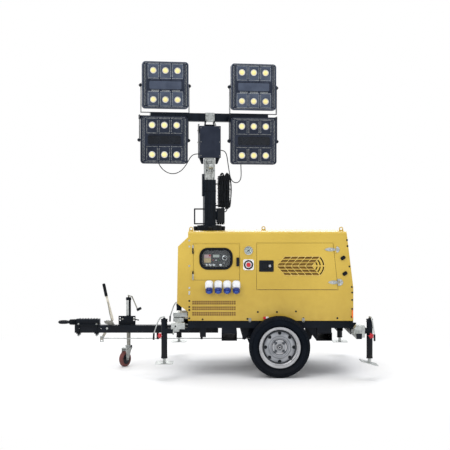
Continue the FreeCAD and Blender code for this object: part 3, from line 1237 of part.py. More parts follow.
def build_sockets():
    for i, x in enumerate(socket_xs):
        profile = [(skin_y, 912.0), (skin_y, 834.0), (skin_y - 20, 812.0), (skin_y - 64, 846.0),
                   (skin_y - 58, 876.0), (skin_y - 30, 906.0)]
        body = plate_yz(profile, x - 31, x + 31)
        axis = V(0, -math.sin(math.radians(socket_tilt)), -math.cos(math.radians(socket_tilt)))
        centre = V(x, skin_y - 40, 832.0)
        start = centre - axis * 6
        collar = Part.makeCylinder(socket_radius, collar_length + 6, start, axis)
        bore = Part.makeCylinder(socket_radius - 5, collar_length + 10, start + axis * 8, axis)
        body = body.fuse(collar).cut(bore)
        back = rod((x, skin_y, 872), (x, skin_y + 30, 872), 23.0)
        up = V(0, -math.cos(math.radians(socket_tilt)), math.sin(math.radians(socket_tilt)))
        hinge_at = centre + axis * (collar_length + 4) + up * (socket_radius + 5)
        ear = Part.makeCylinder(4.5, 12, hinge_at + V(-22, 0, 0), V(1, 0, 0))
        ear = ear.fuse(Part.makeCylinder(4.5, 12, hinge_at + V(10, 0, 0), V(1, 0, 0)))
        web = []
        for dx in (-22.0, 10.0):
            p = hinge_at + V(dx, 0, 0)
            foot = centre + axis * 2 + up * (socket_radius - 3) + V(dx, 0, 0)
            quad = [(p.y + 3 * axis.y, p.z + 3 * axis.z), (p.y - 3 * axis.y + 3 * up.y,
                                                           p.z - 3 * axis.z + 3 * up.z),
                    (foot.y + 6 * up.y, foot.z + 6 * up.z), (foot.y, foot.z)]
            web.append(plate_yz(quad, x + dx, x + dx + 12))
        pin = Part.makeCylinder(2.0, 44, hinge_at + V(-22, 0, 0), V(1, 0, 0))
        body = body.fuse([ear, pin, back] + web).removeSplitter()
        add("sockets", body)
        lid_start = centre + axis * (collar_length + body_clearance)
        lid = Part.makeCylinder(socket_radius + 2, 8, lid_start, axis)
        lug = Part.makeCylinder(4.5, 19.2, hinge_at + V(-9.6, 0, 0), V(1, 0, 0))
        tongue_a = lid_start + up * (socket_radius - 6)
        tongue = [(tongue_a.y, tongue_a.z), (tongue_a.y + 8 * axis.y, tongue_a.z + 8 * axis.z),
                  (hinge_at.y + 4 * axis.y, hinge_at.z + 4 * axis.z), (hinge_at.y - 2 * axis.y,
                                                                       hinge_at.z - 2 * axis.z)]
        lid = lid.fuse([lug, plate_yz(tongue, x - 9.6, x + 9.6)])
        lid = lid.cut(Part.makeCylinder(2.0 + running_clearance, 60, hinge_at + V(-30, 0, 0), V(1, 0, 0)))
        add("socket_lid_%d" % (i + 1), lid.removeSplitter())


# ---------------------------------------------------------------- mast
mast_mid_size = mast_outer - mast_step
mast_inner_size = mast_mid_size - mast_step
bearing_height = 40.0
head_width = 214.0
head_depth = 130.0
head_bottom = 2131.0
head_height = 321.0
mid_top = 2118.0
pin_radius = 9.0
basket_gap = 36.0             # mast's side to the basket
basket_width = 108.0
basket_half = 62.0
basket_bottom = 1628.0
basket_top = 1948.0
basket_wall = 5.0
lamp_yoke_half = lamp_width / 2 + yoke_gap + yoke_thickness
lamp_shift = {"upper": 0.0, "lower": lower_lamp_shift}
lamp_face = 12.0              # thickness of the front, lights let into it


def on_mast(shape):
    return turned(shape, (mast_x, 0, 0), (0, 0, 1), mast_turn)


def wear_pads(size_inside, size_outside, z0, z1):
    """Four pads fixed inside the top of a section, against the section that slides in it."""
    pads = []
    inner = size_inside / 2 + body_clearance
    outer = size_outside / 2
    for sx, sy in ((1, 0), (-1, 0), (0, 1), (0, -1)):
        x0, x1 = sorted((inner * sx, outer * sx)) if sx else (-20, 20)
        y0, y1 = sorted((inner * sy, outer * sy)) if sy else (-20, 20)
        pads.append(block(mast_x + x0, mast_x + x1, y0, y1, z0, z1))
    return pads


def build_mast():
    base = ring((mast_x, 0, canopy_top), (0, 0, 1), 132.0, mast_opening, bearing_height)
    for i in range(8):
        a = math.radians(45 * i + 22.5)
        base = base.fuse(bolt((mast_x + 112 * math.cos(a), 112 * math.sin(a),
                               canopy_top + bearing_height - 10),
                              (0, 0, 1), 17.0, 9.0))
    foot = rod((mast_x, 0, rail_top), (mast_x, 0, mast_foot - 6), 84.0)
    foot = foot.fuse(rod((mast_x, 0, mast_foot - 8), (mast_x, 0, mast_foot + 14), 20.0))
    add("chassis_frame", base.removeSplitter(), foot)
    # outer section with its turntable collar and foot plate
    outer = square_tube_z(mast_x, 0, mast_outer, mast_wall, mast_foot + 6, mast_sections_top)
    collar = rod((mast_x, 0, canopy_top - 6), (mast_x, 0, canopy_top + bearing_height + 16),
                 mast_opening - running_clearance)
    flange = rod((mast_x, 0, canopy_top + bearing_height + body_clearance),
                 (mast_x, 0, canopy_top + bearing_height + 14), 124.0)
    inside = mast_outer / 2 - mast_wall
    bore = block(mast_x - inside, mast_x + inside, -inside, inside, canopy_top - 60, canopy_top + 120)
    plate = block(mast_x - 62, mast_x + 62, -62, 62, mast_foot - 5.6, mast_foot + 6.4)
    plate = plate.cut(rod((mast_x, 0, mast_foot - 20), (mast_x, 0, mast_foot + 20), 20 + running_clearance))
    outer = outer.fuse([collar.fuse(flange).cut(bore), plate])
    outer = outer.fuse(wear_pads(mast_mid_size, mast_outer - 2 * mast_wall, mast_sections_top - 60,
                                 mast_sections_top))
    # frame handles either side, to turn the mast by hand
    handle_bottom = canopy_top + bearing_height + 13
    for side in (-1, 1):
        x0 = mast_x + side * (mast_outer / 2 - 1)
        x1 = mast_x + side * (mast_outer / 2 + 94)
        z0 = handle_bottom + 16
        z1 = z0 + 150
        loop = bent_bar([(x0, 0, z1), (x1, 0, z1), (x1, 0, z0), (x0, 0, z0)], 7.0)
        outer = outer.fuse(loop)
    # cheek on the left that guides the lead, and the basket on the right that holds the coiled lead
    cheek = block(mast_x - mast_outer / 2 - 16, mast_x - mast_outer / 2, -24, 24,
                  mast_sections_top - 167, mast_sections_top + 61)
    outer = outer.fuse(cheek)
    bag_x0 = mast_x + mast_outer / 2 + basket_gap
    bracket = block(mast_x + mast_outer / 2 - 1, bag_x0, -20, 20, basket_bottom + 12, basket_bottom + 24)
    bracket = bracket.fuse(block(mast_x + mast_outer / 2 - 1, bag_x0, -20, 20, basket_top - 88,
                                 basket_top - 76))
    junction_x = mast_x + mast_outer / 2 + 10
    junction_bracket = block(mast_x + mast_outer / 2 - 1, junction_x, -56, -18, 1500, 1590)
    outer = outer.fuse([bracket, junction_bracket])
    add("mast_outer", on_mast(outer.removeSplitter()))
    bag = block(bag_x0, bag_x0 + basket_width, -basket_half, basket_half, basket_bottom, basket_top)
    bag = bag.makeFillet(18.0, [e for e in bag.Edges if abs(e.tangentAt(e.FirstParameter).z) > 0.9])
    bag = bag.cut(block(bag_x0 + basket_wall, bag_x0 + basket_width - basket_wall, -basket_half + basket_wall,
                        basket_half - basket_wall, basket_bottom + basket_wall, basket_top + 10))
    add("mast_outer", on_mast(bag))
    junction = rounded_plate(junction_x, junction_x + 74, 1470, 1620, -90, -12, 8.0)
    add("mast_outer", on_mast(junction))
    # middle section
    mid = square_tube_z(mast_x, 0, mast_mid_size, mast_wall, mast_foot + 18, mid_top)
    mid = mid.fuse(wear_pads(mast_inner_size, mast_mid_size - 2 * mast_wall, mid_top - 60, mid_top))
    for z in (2104.0, 1984.0):
        mid = mid.fuse(block(mast_x - 36, mast_x + 36, -mast_mid_size / 2 - 12, -mast_mid_size / 2, z - 8, z))
    for x in (mast_x - 30, mast_x + 22):
        mid = mid.fuse(block(x, x + 8, -mast_mid_size / 2 - 26, -mast_mid_size / 2, 1990, 2096))
    pulley = ring((mast_x - 21, -mast_mid_size / 2 - 30, 2044), (1, 0, 0), 28.0, 7.0, 42.0)
    shaft = rod((mast_x - 34, -mast_mid_size / 2 - 30, 2044), (mast_x + 34, -mast_mid_size / 2 - 30, 2044),
                7.0)
    ears = [block(x, x + 8, -mast_mid_size / 2 - 44, -mast_mid_size / 2, 2026, 2062)
            for x in (mast_x - 30, mast_x + 22)]
    mid = mid.fuse(ears).cut(shaft)
    add("mast_middle", on_mast(mid.removeSplitter()), on_mast(pulley.fuse(shaft)))
    # inner section and the head it carries
    inner = square_tube_z(mast_x, 0, mast_inner_size, mast_wall, mast_foot + 30, head_bottom)
    add("mast_head", on_mast(inner))


def build_head():
    half = head_width / 2
    depth = head_depth / 2
    top = head_bottom + head_height
    box_outer = block(mast_x - half, mast_x + half, -depth, depth, head_bottom, top)
    box_inner = block(mast_x - half + 4, mast_x + half - 4, -depth + 4, depth - 4, head_bottom + 4, top - 4)
    head = box_outer.cut(box_inner)
    for side in (-1, 1):
        x_outer = mast_x + side * half
        x_inner = mast_x + side * (half - 44)
        outline = [(x_outer, head_bottom + 1), (x_inner, head_bottom + 1), (x_inner, head_bottom - 62),
                   (x_outer - side * 26, head_bottom - 62)]
        head = head.fuse(plate_xz(outline, -12, 12))
    head = head.fuse(block(mast_x - half - 7, mast_x - half, -30, 30, top - 70, top + 22))
    bar_bottom = bar_height - bar_rise / 2
    # two cheeks and a cross rod carry the bar above the box
    for side in (-1, 1):
        x = mast_x + side * 44
        head = head.fuse(block(x - 5, x + 5, -26, 26, top - 4, bar_bottom + 2))
    head = head.fuse(rod((mast_x - 49, -20, top + 8), (mast_x + 49, -20, top + 8), 6.0))
    bar = block(mast_x - bar_length / 2, mast_x + bar_length / 2, -bar_depth / 2, bar_depth / 2, bar_bottom,
                bar_bottom + bar_rise)
    bar_wall = 4.0
    bar = bar.cut(block(mast_x - bar_length, mast_x + bar_length, -bar_depth / 2 + bar_wall,
                        bar_depth / 2 - bar_wall, bar_bottom + bar_wall, bar_bottom + bar_rise - bar_wall))
    saddle = block(mast_x - 46, mast_x + 46, -bar_depth / 2 - 6, bar_depth / 2 + 6, bar_bottom,
                   bar_bottom + bar_rise + 6)
    saddle = saddle.cut(block(mast_x - 60, mast_x + 60, -bar_depth / 2, bar_depth / 2, bar_bottom - 5,
                              bar_bottom + bar_rise))
    head = head.fuse([bar, saddle])
    for level in ("upper", "lower"):
        for side in (-1, 1):
            centre = mast_x + side * lamp_offset + lamp_shift[level]
            if level == "upper":
                z = upper_lamp_height
                y = 0.0
                base = block(centre - lamp_yoke_half, centre + lamp_yoke_half, -yoke_width / 2,
                             yoke_width / 2,
                             bar_bottom + bar_rise, bar_bottom + bar_rise + yoke_thickness)
                low = bar_bottom + bar_rise
                high = z + yoke_width / 2
            else:
                z = lower_lamp_height
                y = -lower_lamp_forward
                base = block(centre - lamp_yoke_half, centre + lamp_yoke_half,
                             -bar_depth / 2 - yoke_thickness,
                             -bar_depth / 2, bar_bottom + 10, bar_bottom + 10 + yoke_width)
                low = z - yoke_width / 2
                high = bar_bottom + 10 + yoke_width
            head = head.fuse(base)
            for hand in (-1, 1):
                x0 = centre + hand * (lamp_yoke_half - yoke_thickness / 2)
                arm = block(x0 - yoke_thickness / 2, x0 + yoke_thickness / 2, y - yoke_width / 2,
                            y + yoke_width / 2, low, high)
                if level == "lower":
                    link = block(x0 - yoke_thickness / 2, x0 + yoke_thickness / 2, y - yoke_width / 2,
                                 -bar_depth / 2, bar_bottom + 10, high)
                    arm = arm.fuse(link)
                arm = arm.cut(rod((x0 - 10, y, z), (x0 + 10, y, z), pin_radius + running_clearance))
                head = head.fuse(arm)
    add("mast_head", on_mast(head.removeSplitter()))


def build_lamp(level, side, name):
    centre = mast_x + side * lamp_offset + lamp_shift[level]
    z = upper_lamp_height if level == "upper" else lower_lamp_height
    y = 0.0 if level == "upper" else -lower_lamp_forward
    hw = lamp_width / 2
    hh = lamp_height / 2
    front = y - lamp_depth / 2
    body_back = front + 52.0
    body = rounded_plate(centre - hw, centre + hw, z - hh, z + hh, front, body_back, lamp_corner)
    body = body.cut(rounded_plate(centre - hw + lamp_wall, centre + hw - lamp_wall, z - hh + lamp_wall,
                                  z + hh - lamp_wall, front + lamp_face, body_back - 5,
                                  lamp_corner - lamp_wall))
    # recessed band across the middle and a cup for each light
    body = body.cut(rounded_plate(centre - 165, centre + 165, z - 44, z + 44, front - 1, front + 7, 14.0))
    cups = []
    for column in (-1, 0, 1):
        for row in (-1, 1):
            cx = centre + column * led_pitch_x
            cz = z + row * led_pitch_z / 2
            cups.append(rod((cx, front - 1, cz), (cx, front + 9, cz), led_radius + 5))
    body = body.cut(cups)
    fins = []
    fin_count = 15
    fin_thickness = 5.0
    for i in range(fin_count):
        x = centre - hw + 38 + (lamp_width - 76) * i / (fin_count - 1)
        fins.append(block(x - fin_thickness / 2, x + fin_thickness / 2, body_back - 1, y + lamp_depth / 2,
                          z - hh + 24, z + hh - 24))
    driver = block(centre - 120, centre + 120, body_back - 1, y + lamp_depth / 2 - 6, z - 50, z + 50)
    pins = []
    for hand in (-1, 1):
        pins.append(rod((centre + hand * (hw - 5), y, z), (centre + hand * (lamp_yoke_half + 8), y, z),
                        pin_radius))
        pins.append(rod((centre + hand * (lamp_yoke_half + body_clearance), y, z),
                        (centre + hand * (lamp_yoke_half + 8), y, z), 16.0))
    lamp = body.fuse(fins + [driver] + pins).removeSplitter()
    add(name, on_mast(lamp))


def build_lamps():
    build_lamp("upper", -1, "lamp_upper_left")
    build_lamp("upper", 1, "lamp_upper_right")
    build_lamp("lower", -1, "lamp_lower_left")
    build_lamp("lower", 1, "lamp_lower_right")


# ---------------------------------------------------------------- machinery under the canopy
engine_front = -60.0
engine_rear = 330.0
engine_half = 150.0
engine_bottom = 640.0
engine_block_top = 900.0
engine_shaft_height = 800.0
mount_height = 40.0
alternator_length = 270.0
housing_length = 60.0
core_front = 560.0            # front face of the radiator
core_thickness = 60.0
fan_height = 840.0
shroud_radius = 240.0
shroud_length = 60.0
blade_count = 6
silencer_y = 250.0
silencer_z = 1080.0
silencer_front = 60.0
silencer_rear = 470.0
battery_height = 190.0
tank_box = (-850.0, -430.0, 150.0, 520.0)
tank_top = 830.0
tank_wall = 4.0
filler_at = (-760.0, 430.0)


def build_engine():
    floor = rail_top
    engine = block(engine_front, engine_rear, -engine_half, engine_half, engine_bottom, engine_block_top)
    sump = block(engine_front + 30, engine_rear - 30, -120, 120, engine_bottom - 80, engine_bottom + 1)
    head = block(engine_front + 10, engine_rear - 10, -80, 110, engine_block_top - 1, engine_block_top + 110)
    rocker = block(engine_front + 25, engine_rear - 25, -55, 85, engine_block_top + 109,
                   engine_block_top + 160)
    filter_can = rod((engine_front + 120, -engine_half, 760), (engine_front + 120, -engine_half - 85, 760),
                     42.0)
    housing = rod((engine_front - housing_length, 0, engine_shaft_height),
                  (engine_front, 0, engine_shaft_height),
                  165.0)
    engine = engine.fuse([sump, head, rocker, filter_can, housing])
    # two feet each side on rubber mounts
    foot_low = floor + mount_height
    for x in (engine_front + 60, engine_rear - 60):
        for side in (-1, 1):
            engine = engine.fuse(block(x - 25, x + 25, side * 185 - 40, side * 185 + 40, foot_low,
                                       foot_low + 16))
            y0, y1 = sorted((side * 145, side * 215))
            engine = engine.fuse(block(x - 18, x + 18, y0, y1, foot_low + 14, engine_bottom + 60))
            mount_y = side * (bed_y + 5)
            add("engine_set", rod((x, mount_y, floor), (x, mount_y, foot_low), 22.0))
    add("engine_set", engine.removeSplitter())


def build_alternator():
    rear = engine_front - housing_length
    front = rear - alternator_length
    body = rod((front, 0, engine_shaft_height), (rear, 0, engine_shaft_height), 150.0)
    terminal_box = block(front + 40, rear - 50, -110, 110, engine_shaft_height + 130,
                         engine_shaft_height + 215)
    stand = block(front + 30, rear - 30, -170, 170, rail_top, engine_shaft_height - 130)
    stand = stand.cut(block(front + 20, rear - 20, -110, 110, rail_top - 1, engine_shaft_height - 160))
    add("engine_set", body.fuse([terminal_box, stand]).removeSplitter())


def build_radiator():
    core = block(core_front, core_front + core_thickness, -300, 300, rail_top, 1120)
    start = core_front - shroud_length
    shroud = rod((start, 0, fan_height), (core_front, 0, fan_height), shroud_radius)
    shroud = shroud.cut(rod((start - 10, 0, fan_height), (core_front - 8, 0, fan_height), shroud_radius - 8))
    add("engine_set", core.fuse(shroud).removeSplitter())
    # belt-driven fan on its shaft out of the engine
    fan = rod((engine_rear, 0, fan_height), (core_front - 18, 0, fan_height), 24.0)
    blade_x = core_front - 42
    for i in range(blade_count):
        blade = block(blade_x - 4, blade_x + 4, -34, 34, fan_height + 10, fan_height + shroud_radius - 18)
        blade = turned(blade, (blade_x, 0, fan_height), (0, 0, 1), 24)
        fan = fan.fuse(turned(blade, (0, 0, fan_height), (1, 0, 0), 360 / blade_count * i))
    add("engine_set", fan.removeSplitter())


def build_machinery():
    build_engine()
    build_alternator()
    build_radiator()
    # silencer beside the engine's head, with its down pipe and its stand on the bed
    silencer = rod((silencer_front, silencer_y, silencer_z), (silencer_rear, silencer_y, silencer_z), 78.0)
    elbow_z = silencer_z - 95
    down = rod((120, silencer_y, silencer_z), (120, silencer_y, elbow_z), 24.0)
    link = rod((120, silencer_y + 15, elbow_z), (120, 110, elbow_z), 22.0)
    stand = block(420, 450, 160, 340, rail_top, silencer_z - 70)
    stand = stand.cut(block(410, 460, 200, 300, rail_top - 1, silencer_z - 180))
    add("engine_set", silencer.fuse([down, link, stand]).removeSplitter())
    x0, x1, y0, y1 = battery_box
    add("engine_set", block(x0, x1, y0, y1, rail_top, rail_top + battery_height))
    # fuel tank beside the mast with filler neck and cap
    x0, x1, y0, y1 = tank_box
    tank = block(x0, x1, y0, y1, rail_top, tank_top)
    tank = tank.makeFillet(24.0, [e for e in tank.Edges if abs(e.tangentAt(e.FirstParameter).z) > 0.9])
    tank = tank.cut(block(x0 + tank_wall, x1 - tank_wall, y0 + tank_wall, y1 - tank_wall,
                          rail_top + tank_wall,
                          tank_top - tank_wall))
    neck = rod((*filler_at, tank_top - 1), (*filler_at, tank_top + 70), 32.0)
    cap = rod((*filler_at, tank_top + 70), (*filler_at, tank_top + 94), 42.0)
    add("engine_set", tank.fuse([neck, cap]).removeSplitter())


# ---------------------------------------------------------------- lamp leads
lead_radius = 4.5
arc_share = 0.45
# hand-laid routes, measured from the mast's axis before the mast is turned
left_lead_route = [
    (-113.0, 20.0, 2172.0), (-152.0, 20.0, 2172.0), (-190.0, 26.0, 2142.0), (-216.0, 32.0, 2092.0),
    (-246.0, 39.0, 2042.0), (-286.0, 46.0, 1998.0), (-336.0, 54.0, 1972.0), (-390.0, 62.0, 1970.0),
    (-440.0, 68.0, 1990.0), (-484.0, 72.0, 2028.0), (-514.0, 74.0, 2080.0), (-526.0, 74.0, 2140.0),
    (-527.0, 72.0, 2202.0), (-522.0, 66.0, 2262.0), (-515.0, 54.0, 2320.0), (-510.0, 38.0, 2374.0),
    (-507.0, 20.0, 2424.0), (-506.0, 12.0, 2462.0), (-506.0, 12.0, 2500.0)]
right_lead_route = [
    (113.0, 20.0, 2212.0), (146.0, 20.0, 2212.0), (176.0, 26.0, 2188.0), (190.0, 34.0, 2144.0),
    (199.0, 43.0, 2088.0), (209.0, 49.0, 2032.0), (219.0, 54.0, 1974.0), (232.0, 57.0, 1920.0),
    (262.0, 60.0, 1884.0), (309.0, 64.0, 1882.0), (338.0, 67.0, 1916.0), (344.0, 70.0, 1964.0),
    (343.0, 72.0, 2012.0), (341.0, 73.0, 2072.0), (340.0, 73.0, 2132.0), (341.0, 71.0, 2192.0),
    (345.0, 66.0, 2252.0), (350.0, 56.0, 2310.0), (355.0, 40.0, 2366.0), (358.0, 22.0, 2418.0),
    (358.0, 14.0, 2458.0), (358.0, 14.0, 2500.0)]


def smooth_path(points):
    """Straight runs joined by tangent arcs; returns the wire, its length and the arc radii."""
    corners = [V(*p) for p in points]
    edges = []
    radii = []
    last = corners[0]
    for before, at, after in zip(corners[:-2], corners[1:-1], corners[2:]):
        a = (before - at)
        b = (after - at)
        run_a = a.Length
        run_b = b.Length
        a.normalize()
        b.normalize()
        turn = math.pi - a.getAngle(b)
        reach = arc_share * min(run_a, run_b)
        radius = reach / math.tan(turn / 2)
        radii.append(radius)
        p = at + a * reach
        q = at + b * reach
        inward = (a + b).normalize()
        middle = at + inward * (radius / math.cos(turn / 2) - radius)
        edges.append(Part.LineSegment(last, p).toShape())
        edges.append(Part.Arc(p, middle, q).toShape())
        last = q
    edges.append(Part.LineSegment(last, corners[-1]).toShape())
    wire = Part.Wire(edges)
    return wire, wire.Length, radii


def lead_solid(points, radius):
    wire, length, radii = smooth_path(points)
    start = V(*points[0])
    direction = V(*points[1]) - start
    section = Part.Wire([Part.makeCircle(radius, start, direction)])
    solid = wire.makePipeShell([section], True, False)
    expected = math.pi * radius ** 2 * length
    print("lead", round(length, 1), "volume ratio", round(solid.Volume / expected, 4),
          "smallest radius", round(min(radii), 1))
    print("  radii", [round(r, 1) for r in radii])
    return solid


def build_leads():
    for name, route in (("lead_left", left_lead_route), ("lead_right", right_lead_route)):
        points = [(mast_x + x, y, z) for x, y, z in route]
        add(name, on_mast(lead_solid(points, lead_radius)))
        start = points[0]
        side = 1 if route[0][0] > 0 else -1
        gland = rod((mast_x + side * head_width / 2, start[1], start[2]), start, 9.0)
        add("mast_head", on_mast(gland))


# ---------------------------------------------------------------- assembly
build_running_gear()
build_chassis()
build_drawbar()
build_coupling()
build_handbrake()
build_jockey()
build_outriggers()
build_shell()
for hand in (-1, 1):
    build_side(hand)
build_control_door()
build_latch()
build_nose()
build_controls()
build_sockets()
build_mast()
build_head()
build_lamps()
build_machinery()
build_leads()

# the tilted rear foot reaches furthest to the rear
tilt = math.radians(rear_near_foot_tilt)
rear_reach = (jack_line("rear", -1) + foot_size / 2 * math.cos(tilt)
              - (foot_pivot_height - foot_plate) * math.sin(tilt))
origin_shift = (front_reach - rear_reach) / 2

for name in sorted(nodes):
    shapes = [s for s in nodes[name]]
    solids = []
    for s in shapes:
        solids.extend(s.Solids)
    compound = Part.makeCompound(solids)
    compound.translate(V(origin_shift, 0, 0))
    compound.exportStep("parts/" + name + ".step")
    bb = compound.BoundBox
    print("%-18s solids %2d  X %8.1f %8.1f  Y %7.1f %7.1f  Z %7.1f %7.1f  valid %s" % (
        name, len(solids), bb.XMin, bb.XMax, bb.YMin, bb.YMax, bb.ZMin, bb.ZMax, compound.isValid()))
print("nodes", len(nodes), "origin shift", origin_shift)
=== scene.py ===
from itertools import product
from math import cos, hypot, pi, radians, sin

import bmesh
import bpy
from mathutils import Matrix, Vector


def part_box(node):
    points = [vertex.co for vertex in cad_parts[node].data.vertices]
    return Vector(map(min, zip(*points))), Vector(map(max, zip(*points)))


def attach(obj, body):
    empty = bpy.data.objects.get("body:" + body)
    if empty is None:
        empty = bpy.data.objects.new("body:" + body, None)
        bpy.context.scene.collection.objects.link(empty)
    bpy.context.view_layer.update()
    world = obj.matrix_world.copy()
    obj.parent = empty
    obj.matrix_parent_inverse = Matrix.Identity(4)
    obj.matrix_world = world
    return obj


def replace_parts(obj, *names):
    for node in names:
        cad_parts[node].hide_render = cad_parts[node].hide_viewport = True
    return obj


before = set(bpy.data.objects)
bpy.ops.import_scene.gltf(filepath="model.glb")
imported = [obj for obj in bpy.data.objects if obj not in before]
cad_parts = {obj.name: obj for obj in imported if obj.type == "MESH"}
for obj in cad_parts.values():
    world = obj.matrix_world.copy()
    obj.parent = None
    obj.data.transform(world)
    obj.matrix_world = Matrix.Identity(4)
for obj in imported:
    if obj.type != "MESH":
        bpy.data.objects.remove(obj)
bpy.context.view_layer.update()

# The CAD's own millimetres have X = 0 at the axle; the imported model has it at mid-length.
AXLE_X = 654.537
MAST_X = -680.0
MAST_TURN = radians(10.0)
SKIN = 560.0                   # half width over the side panels
AXLE_Z = 292                   # height of the road wheels' axle
LOUVRE_Z = 1059                # middle of the side doors' louvres
UP, DOWN, NEAR, FAR, AHEAD = (0, 0, 1), (0, 0, -1), (0, -1, 0), (0, 1, 0), (-1, 0, 0)
SIDES = ((-1, "near"), (1, "far"))
CORNERS = ("front_near", "front_far", "rear_near", "rear_far")


def at(x, y, z):
    """A point given in millimetres from the axle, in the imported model's metres."""
    return Vector(((x + AXLE_X) / 1000, y / 1000, z / 1000))


def on_mast(x, y, z):
    """The same for a point measured from the mast's axis before the mast is turned."""
    c, s = cos(MAST_TURN), sin(MAST_TURN)
    return at(MAST_X + x * c - y * s, x * s + y * c, z)


def skin(side, inner, outer):
    """Two distances out from the side skin, as Y from low to high."""
    return sorted((side * (SKIN + inner), side * (SKIN + outer)))


def rgb(r, g, b):
    """Linear colour of an sRGB triple from 0 to 255."""
    linear = [((v / 255 + 0.055) / 1.055) ** 2.4 if v > 10 else v / 255 / 12.92 for v in (r, g, b)]
    return (*linear, 1.0)


def in_scene(name, data):
    item = bpy.data.objects.new(name, data)
    bpy.context.scene.collection.objects.link(item)
    return item


# ---- materials
def feed(inputs, values):
    """Gives each input a value, or the socket that feeds it."""
    for key, value in values.items():
        if isinstance(value, bpy.types.NodeSocket):
            value.id_data.links.new(value, inputs[key])
        else:
            inputs[key].default_value = value


def nodes_of(owner):
    """The shader nodes of owner, and a function that adds one and gives its outputs."""
    owner.use_nodes = True
    nodes = owner.node_tree.nodes

    def new(kind, inputs, **settings):
        node = nodes.new("ShaderNode" + kind)
        for key, value in settings.items():
            setattr(node, key, value)
        feed(node.inputs, inputs)
        return node.outputs

    return nodes, new


def material(name, low, high, rough=(0.35, 0.5), metallic=0.0, patch=4.0, grain=260.0, bump=0.04,
             coat=0.0, dust_and_shade=None, dust_and_shade_top=0.0, dust_and_shade_amount=0.5, spangle=0.0, streak=None,
             shine=0.5):
    """Colour that drifts between two values, uneven roughness, fine bump and optional blotches that grow
    towards the bottom: dust on most materials, painted shade on the canopy.
    """
    m = bpy.data.materials.new(name)
    nodes, new = nodes_of(m)
    shader = nodes["Principled BSDF"].inputs
    if coat:
        feed(shader, {"Coat Weight": coat, "Coat Roughness": 0.12})
    coords = drift_coords = new("TexCoord", {})["Object"]
    if streak:
        drift_coords = new("Mapping", {"Scale": streak, "Vector": coords})["Vector"]
    drift = new("TexNoise", {"Scale": patch, "Detail": 5.0, "Vector": drift_coords})["Fac"]
    colour = new("ValToRGB", {"Fac": drift})["Color"]
    for stop, position, tone in zip(colour.node.color_ramp.elements, (0.32, 0.68), (low, high)):
        stop.position = position
        stop.color = rgb(*tone)
    if spangle:
        cells = new("TexVoronoi", {"Scale": spangle, "Vector": coords})["Color"]
        value = new("MapRange", {"To Min": 0.72, "To Max": 1.12, "Value": cells})["Result"]
        colour = new("VectorMath", {0: colour, "Scale": value}, operation="SCALE")["Vector"]
    # blotchy tint that grows towards the bottom: painted shade on the canopy paint, dust on the others
    if dust_and_shade:
        height = new("SeparateXYZ", {"Vector": coords})["Z"]
        low_down = new("MapRange", {"From Min": dust_and_shade_top, "From Max": 0.0, "To Max": dust_and_shade_amount,
                                    "Value": height})["Result"]
        spots = new("TexNoise", {"Scale": 17.0, "Detail": 8.0, "Vector": coords})["Fac"]
        share = new("Math", {0: low_down, 1: spots}, operation="MULTIPLY")["Value"]
        colour = new("Mix", {"Factor": share, "A": colour, "B": rgb(*dust_and_shade)}, data_type="RGBA")["Result"]
    wear = new("TexNoise", {"Scale": patch * 6, "Detail": 4.0, "Vector": drift_coords})["Fac"]
    spread = new("MapRange", {"From Min": 0.3, "From Max": 0.7, "To Min": rough[0], "To Max": rough[1],
                              "Value": wear})["Result"]
    fine = new("TexNoise", {"Scale": grain, "Detail": 3.0, "Vector": coords})["Fac"]
    relief = new("Bump", {"Strength": bump, "Distance": 0.002, "Height": fine})["Normal"]
    feed(shader, {"Metallic": metallic, "Specular IOR Level": shine, "Base Color": colour,
                  "Roughness": spread, "Normal": relief})
    return m


def glass(name, colour):
    m = bpy.data.materials.new(name)
    nodes, new = nodes_of(m)
    smear = new("TexNoise", {"Scale": 9.0, "Vector": new("TexCoord", {})["Object"]})["Fac"]
    spread = new("MapRange", {"To Min": 0.03, "To Max": 0.11, "Value": smear})["Result"]
    feed(nodes["Principled BSDF"].inputs, {"Base Color": colour, "Transmission Weight": 1.0, "IOR": 1.45,
                                           "Roughness": spread})
    return m


DUST = (120, 108, 90)
# the canopy paint's darker yellow blotches towards its bottom are painted shade
yellow = material("canopy_paint", (192, 161, 58), (205, 174, 68), (0.30, 0.42), patch=1.6, grain=420.0,
                  bump=0.03, coat=0.25, dust_and_shade=(150, 112, 22), dust_and_shade_top=1.15, dust_and_shade_amount=0.85)
# shaded copy of the canopy paint: painted shade on the louvre blades behind the slots
yellow_in_shade = material("canopy_paint_shaded", (150, 116, 52), (176, 137, 62), (0.45, 0.6), patch=9.0)
black = material("frame_paint", (6, 12, 20), (12, 20, 30), (0.30, 0.5), patch=5.0, grain=320.0,
                 bump=0.06, dust_and_shade=DUST, dust_and_shade_top=0.5, dust_and_shade_amount=0.16, shine=0.14)
mast_paint = material("mast_paint", (8, 15, 24), (16, 25, 35), (0.25, 0.42), patch=3.0, grain=380.0,
                      bump=0.04, streak=(6.0, 6.0, 0.6), shine=0.16)
casting = material("lamp_casting", (28, 34, 48), (42, 48, 62), (0.34, 0.5), patch=8.0, grain=520.0,
                   bump=0.10, metallic=0.2, shine=0.2)
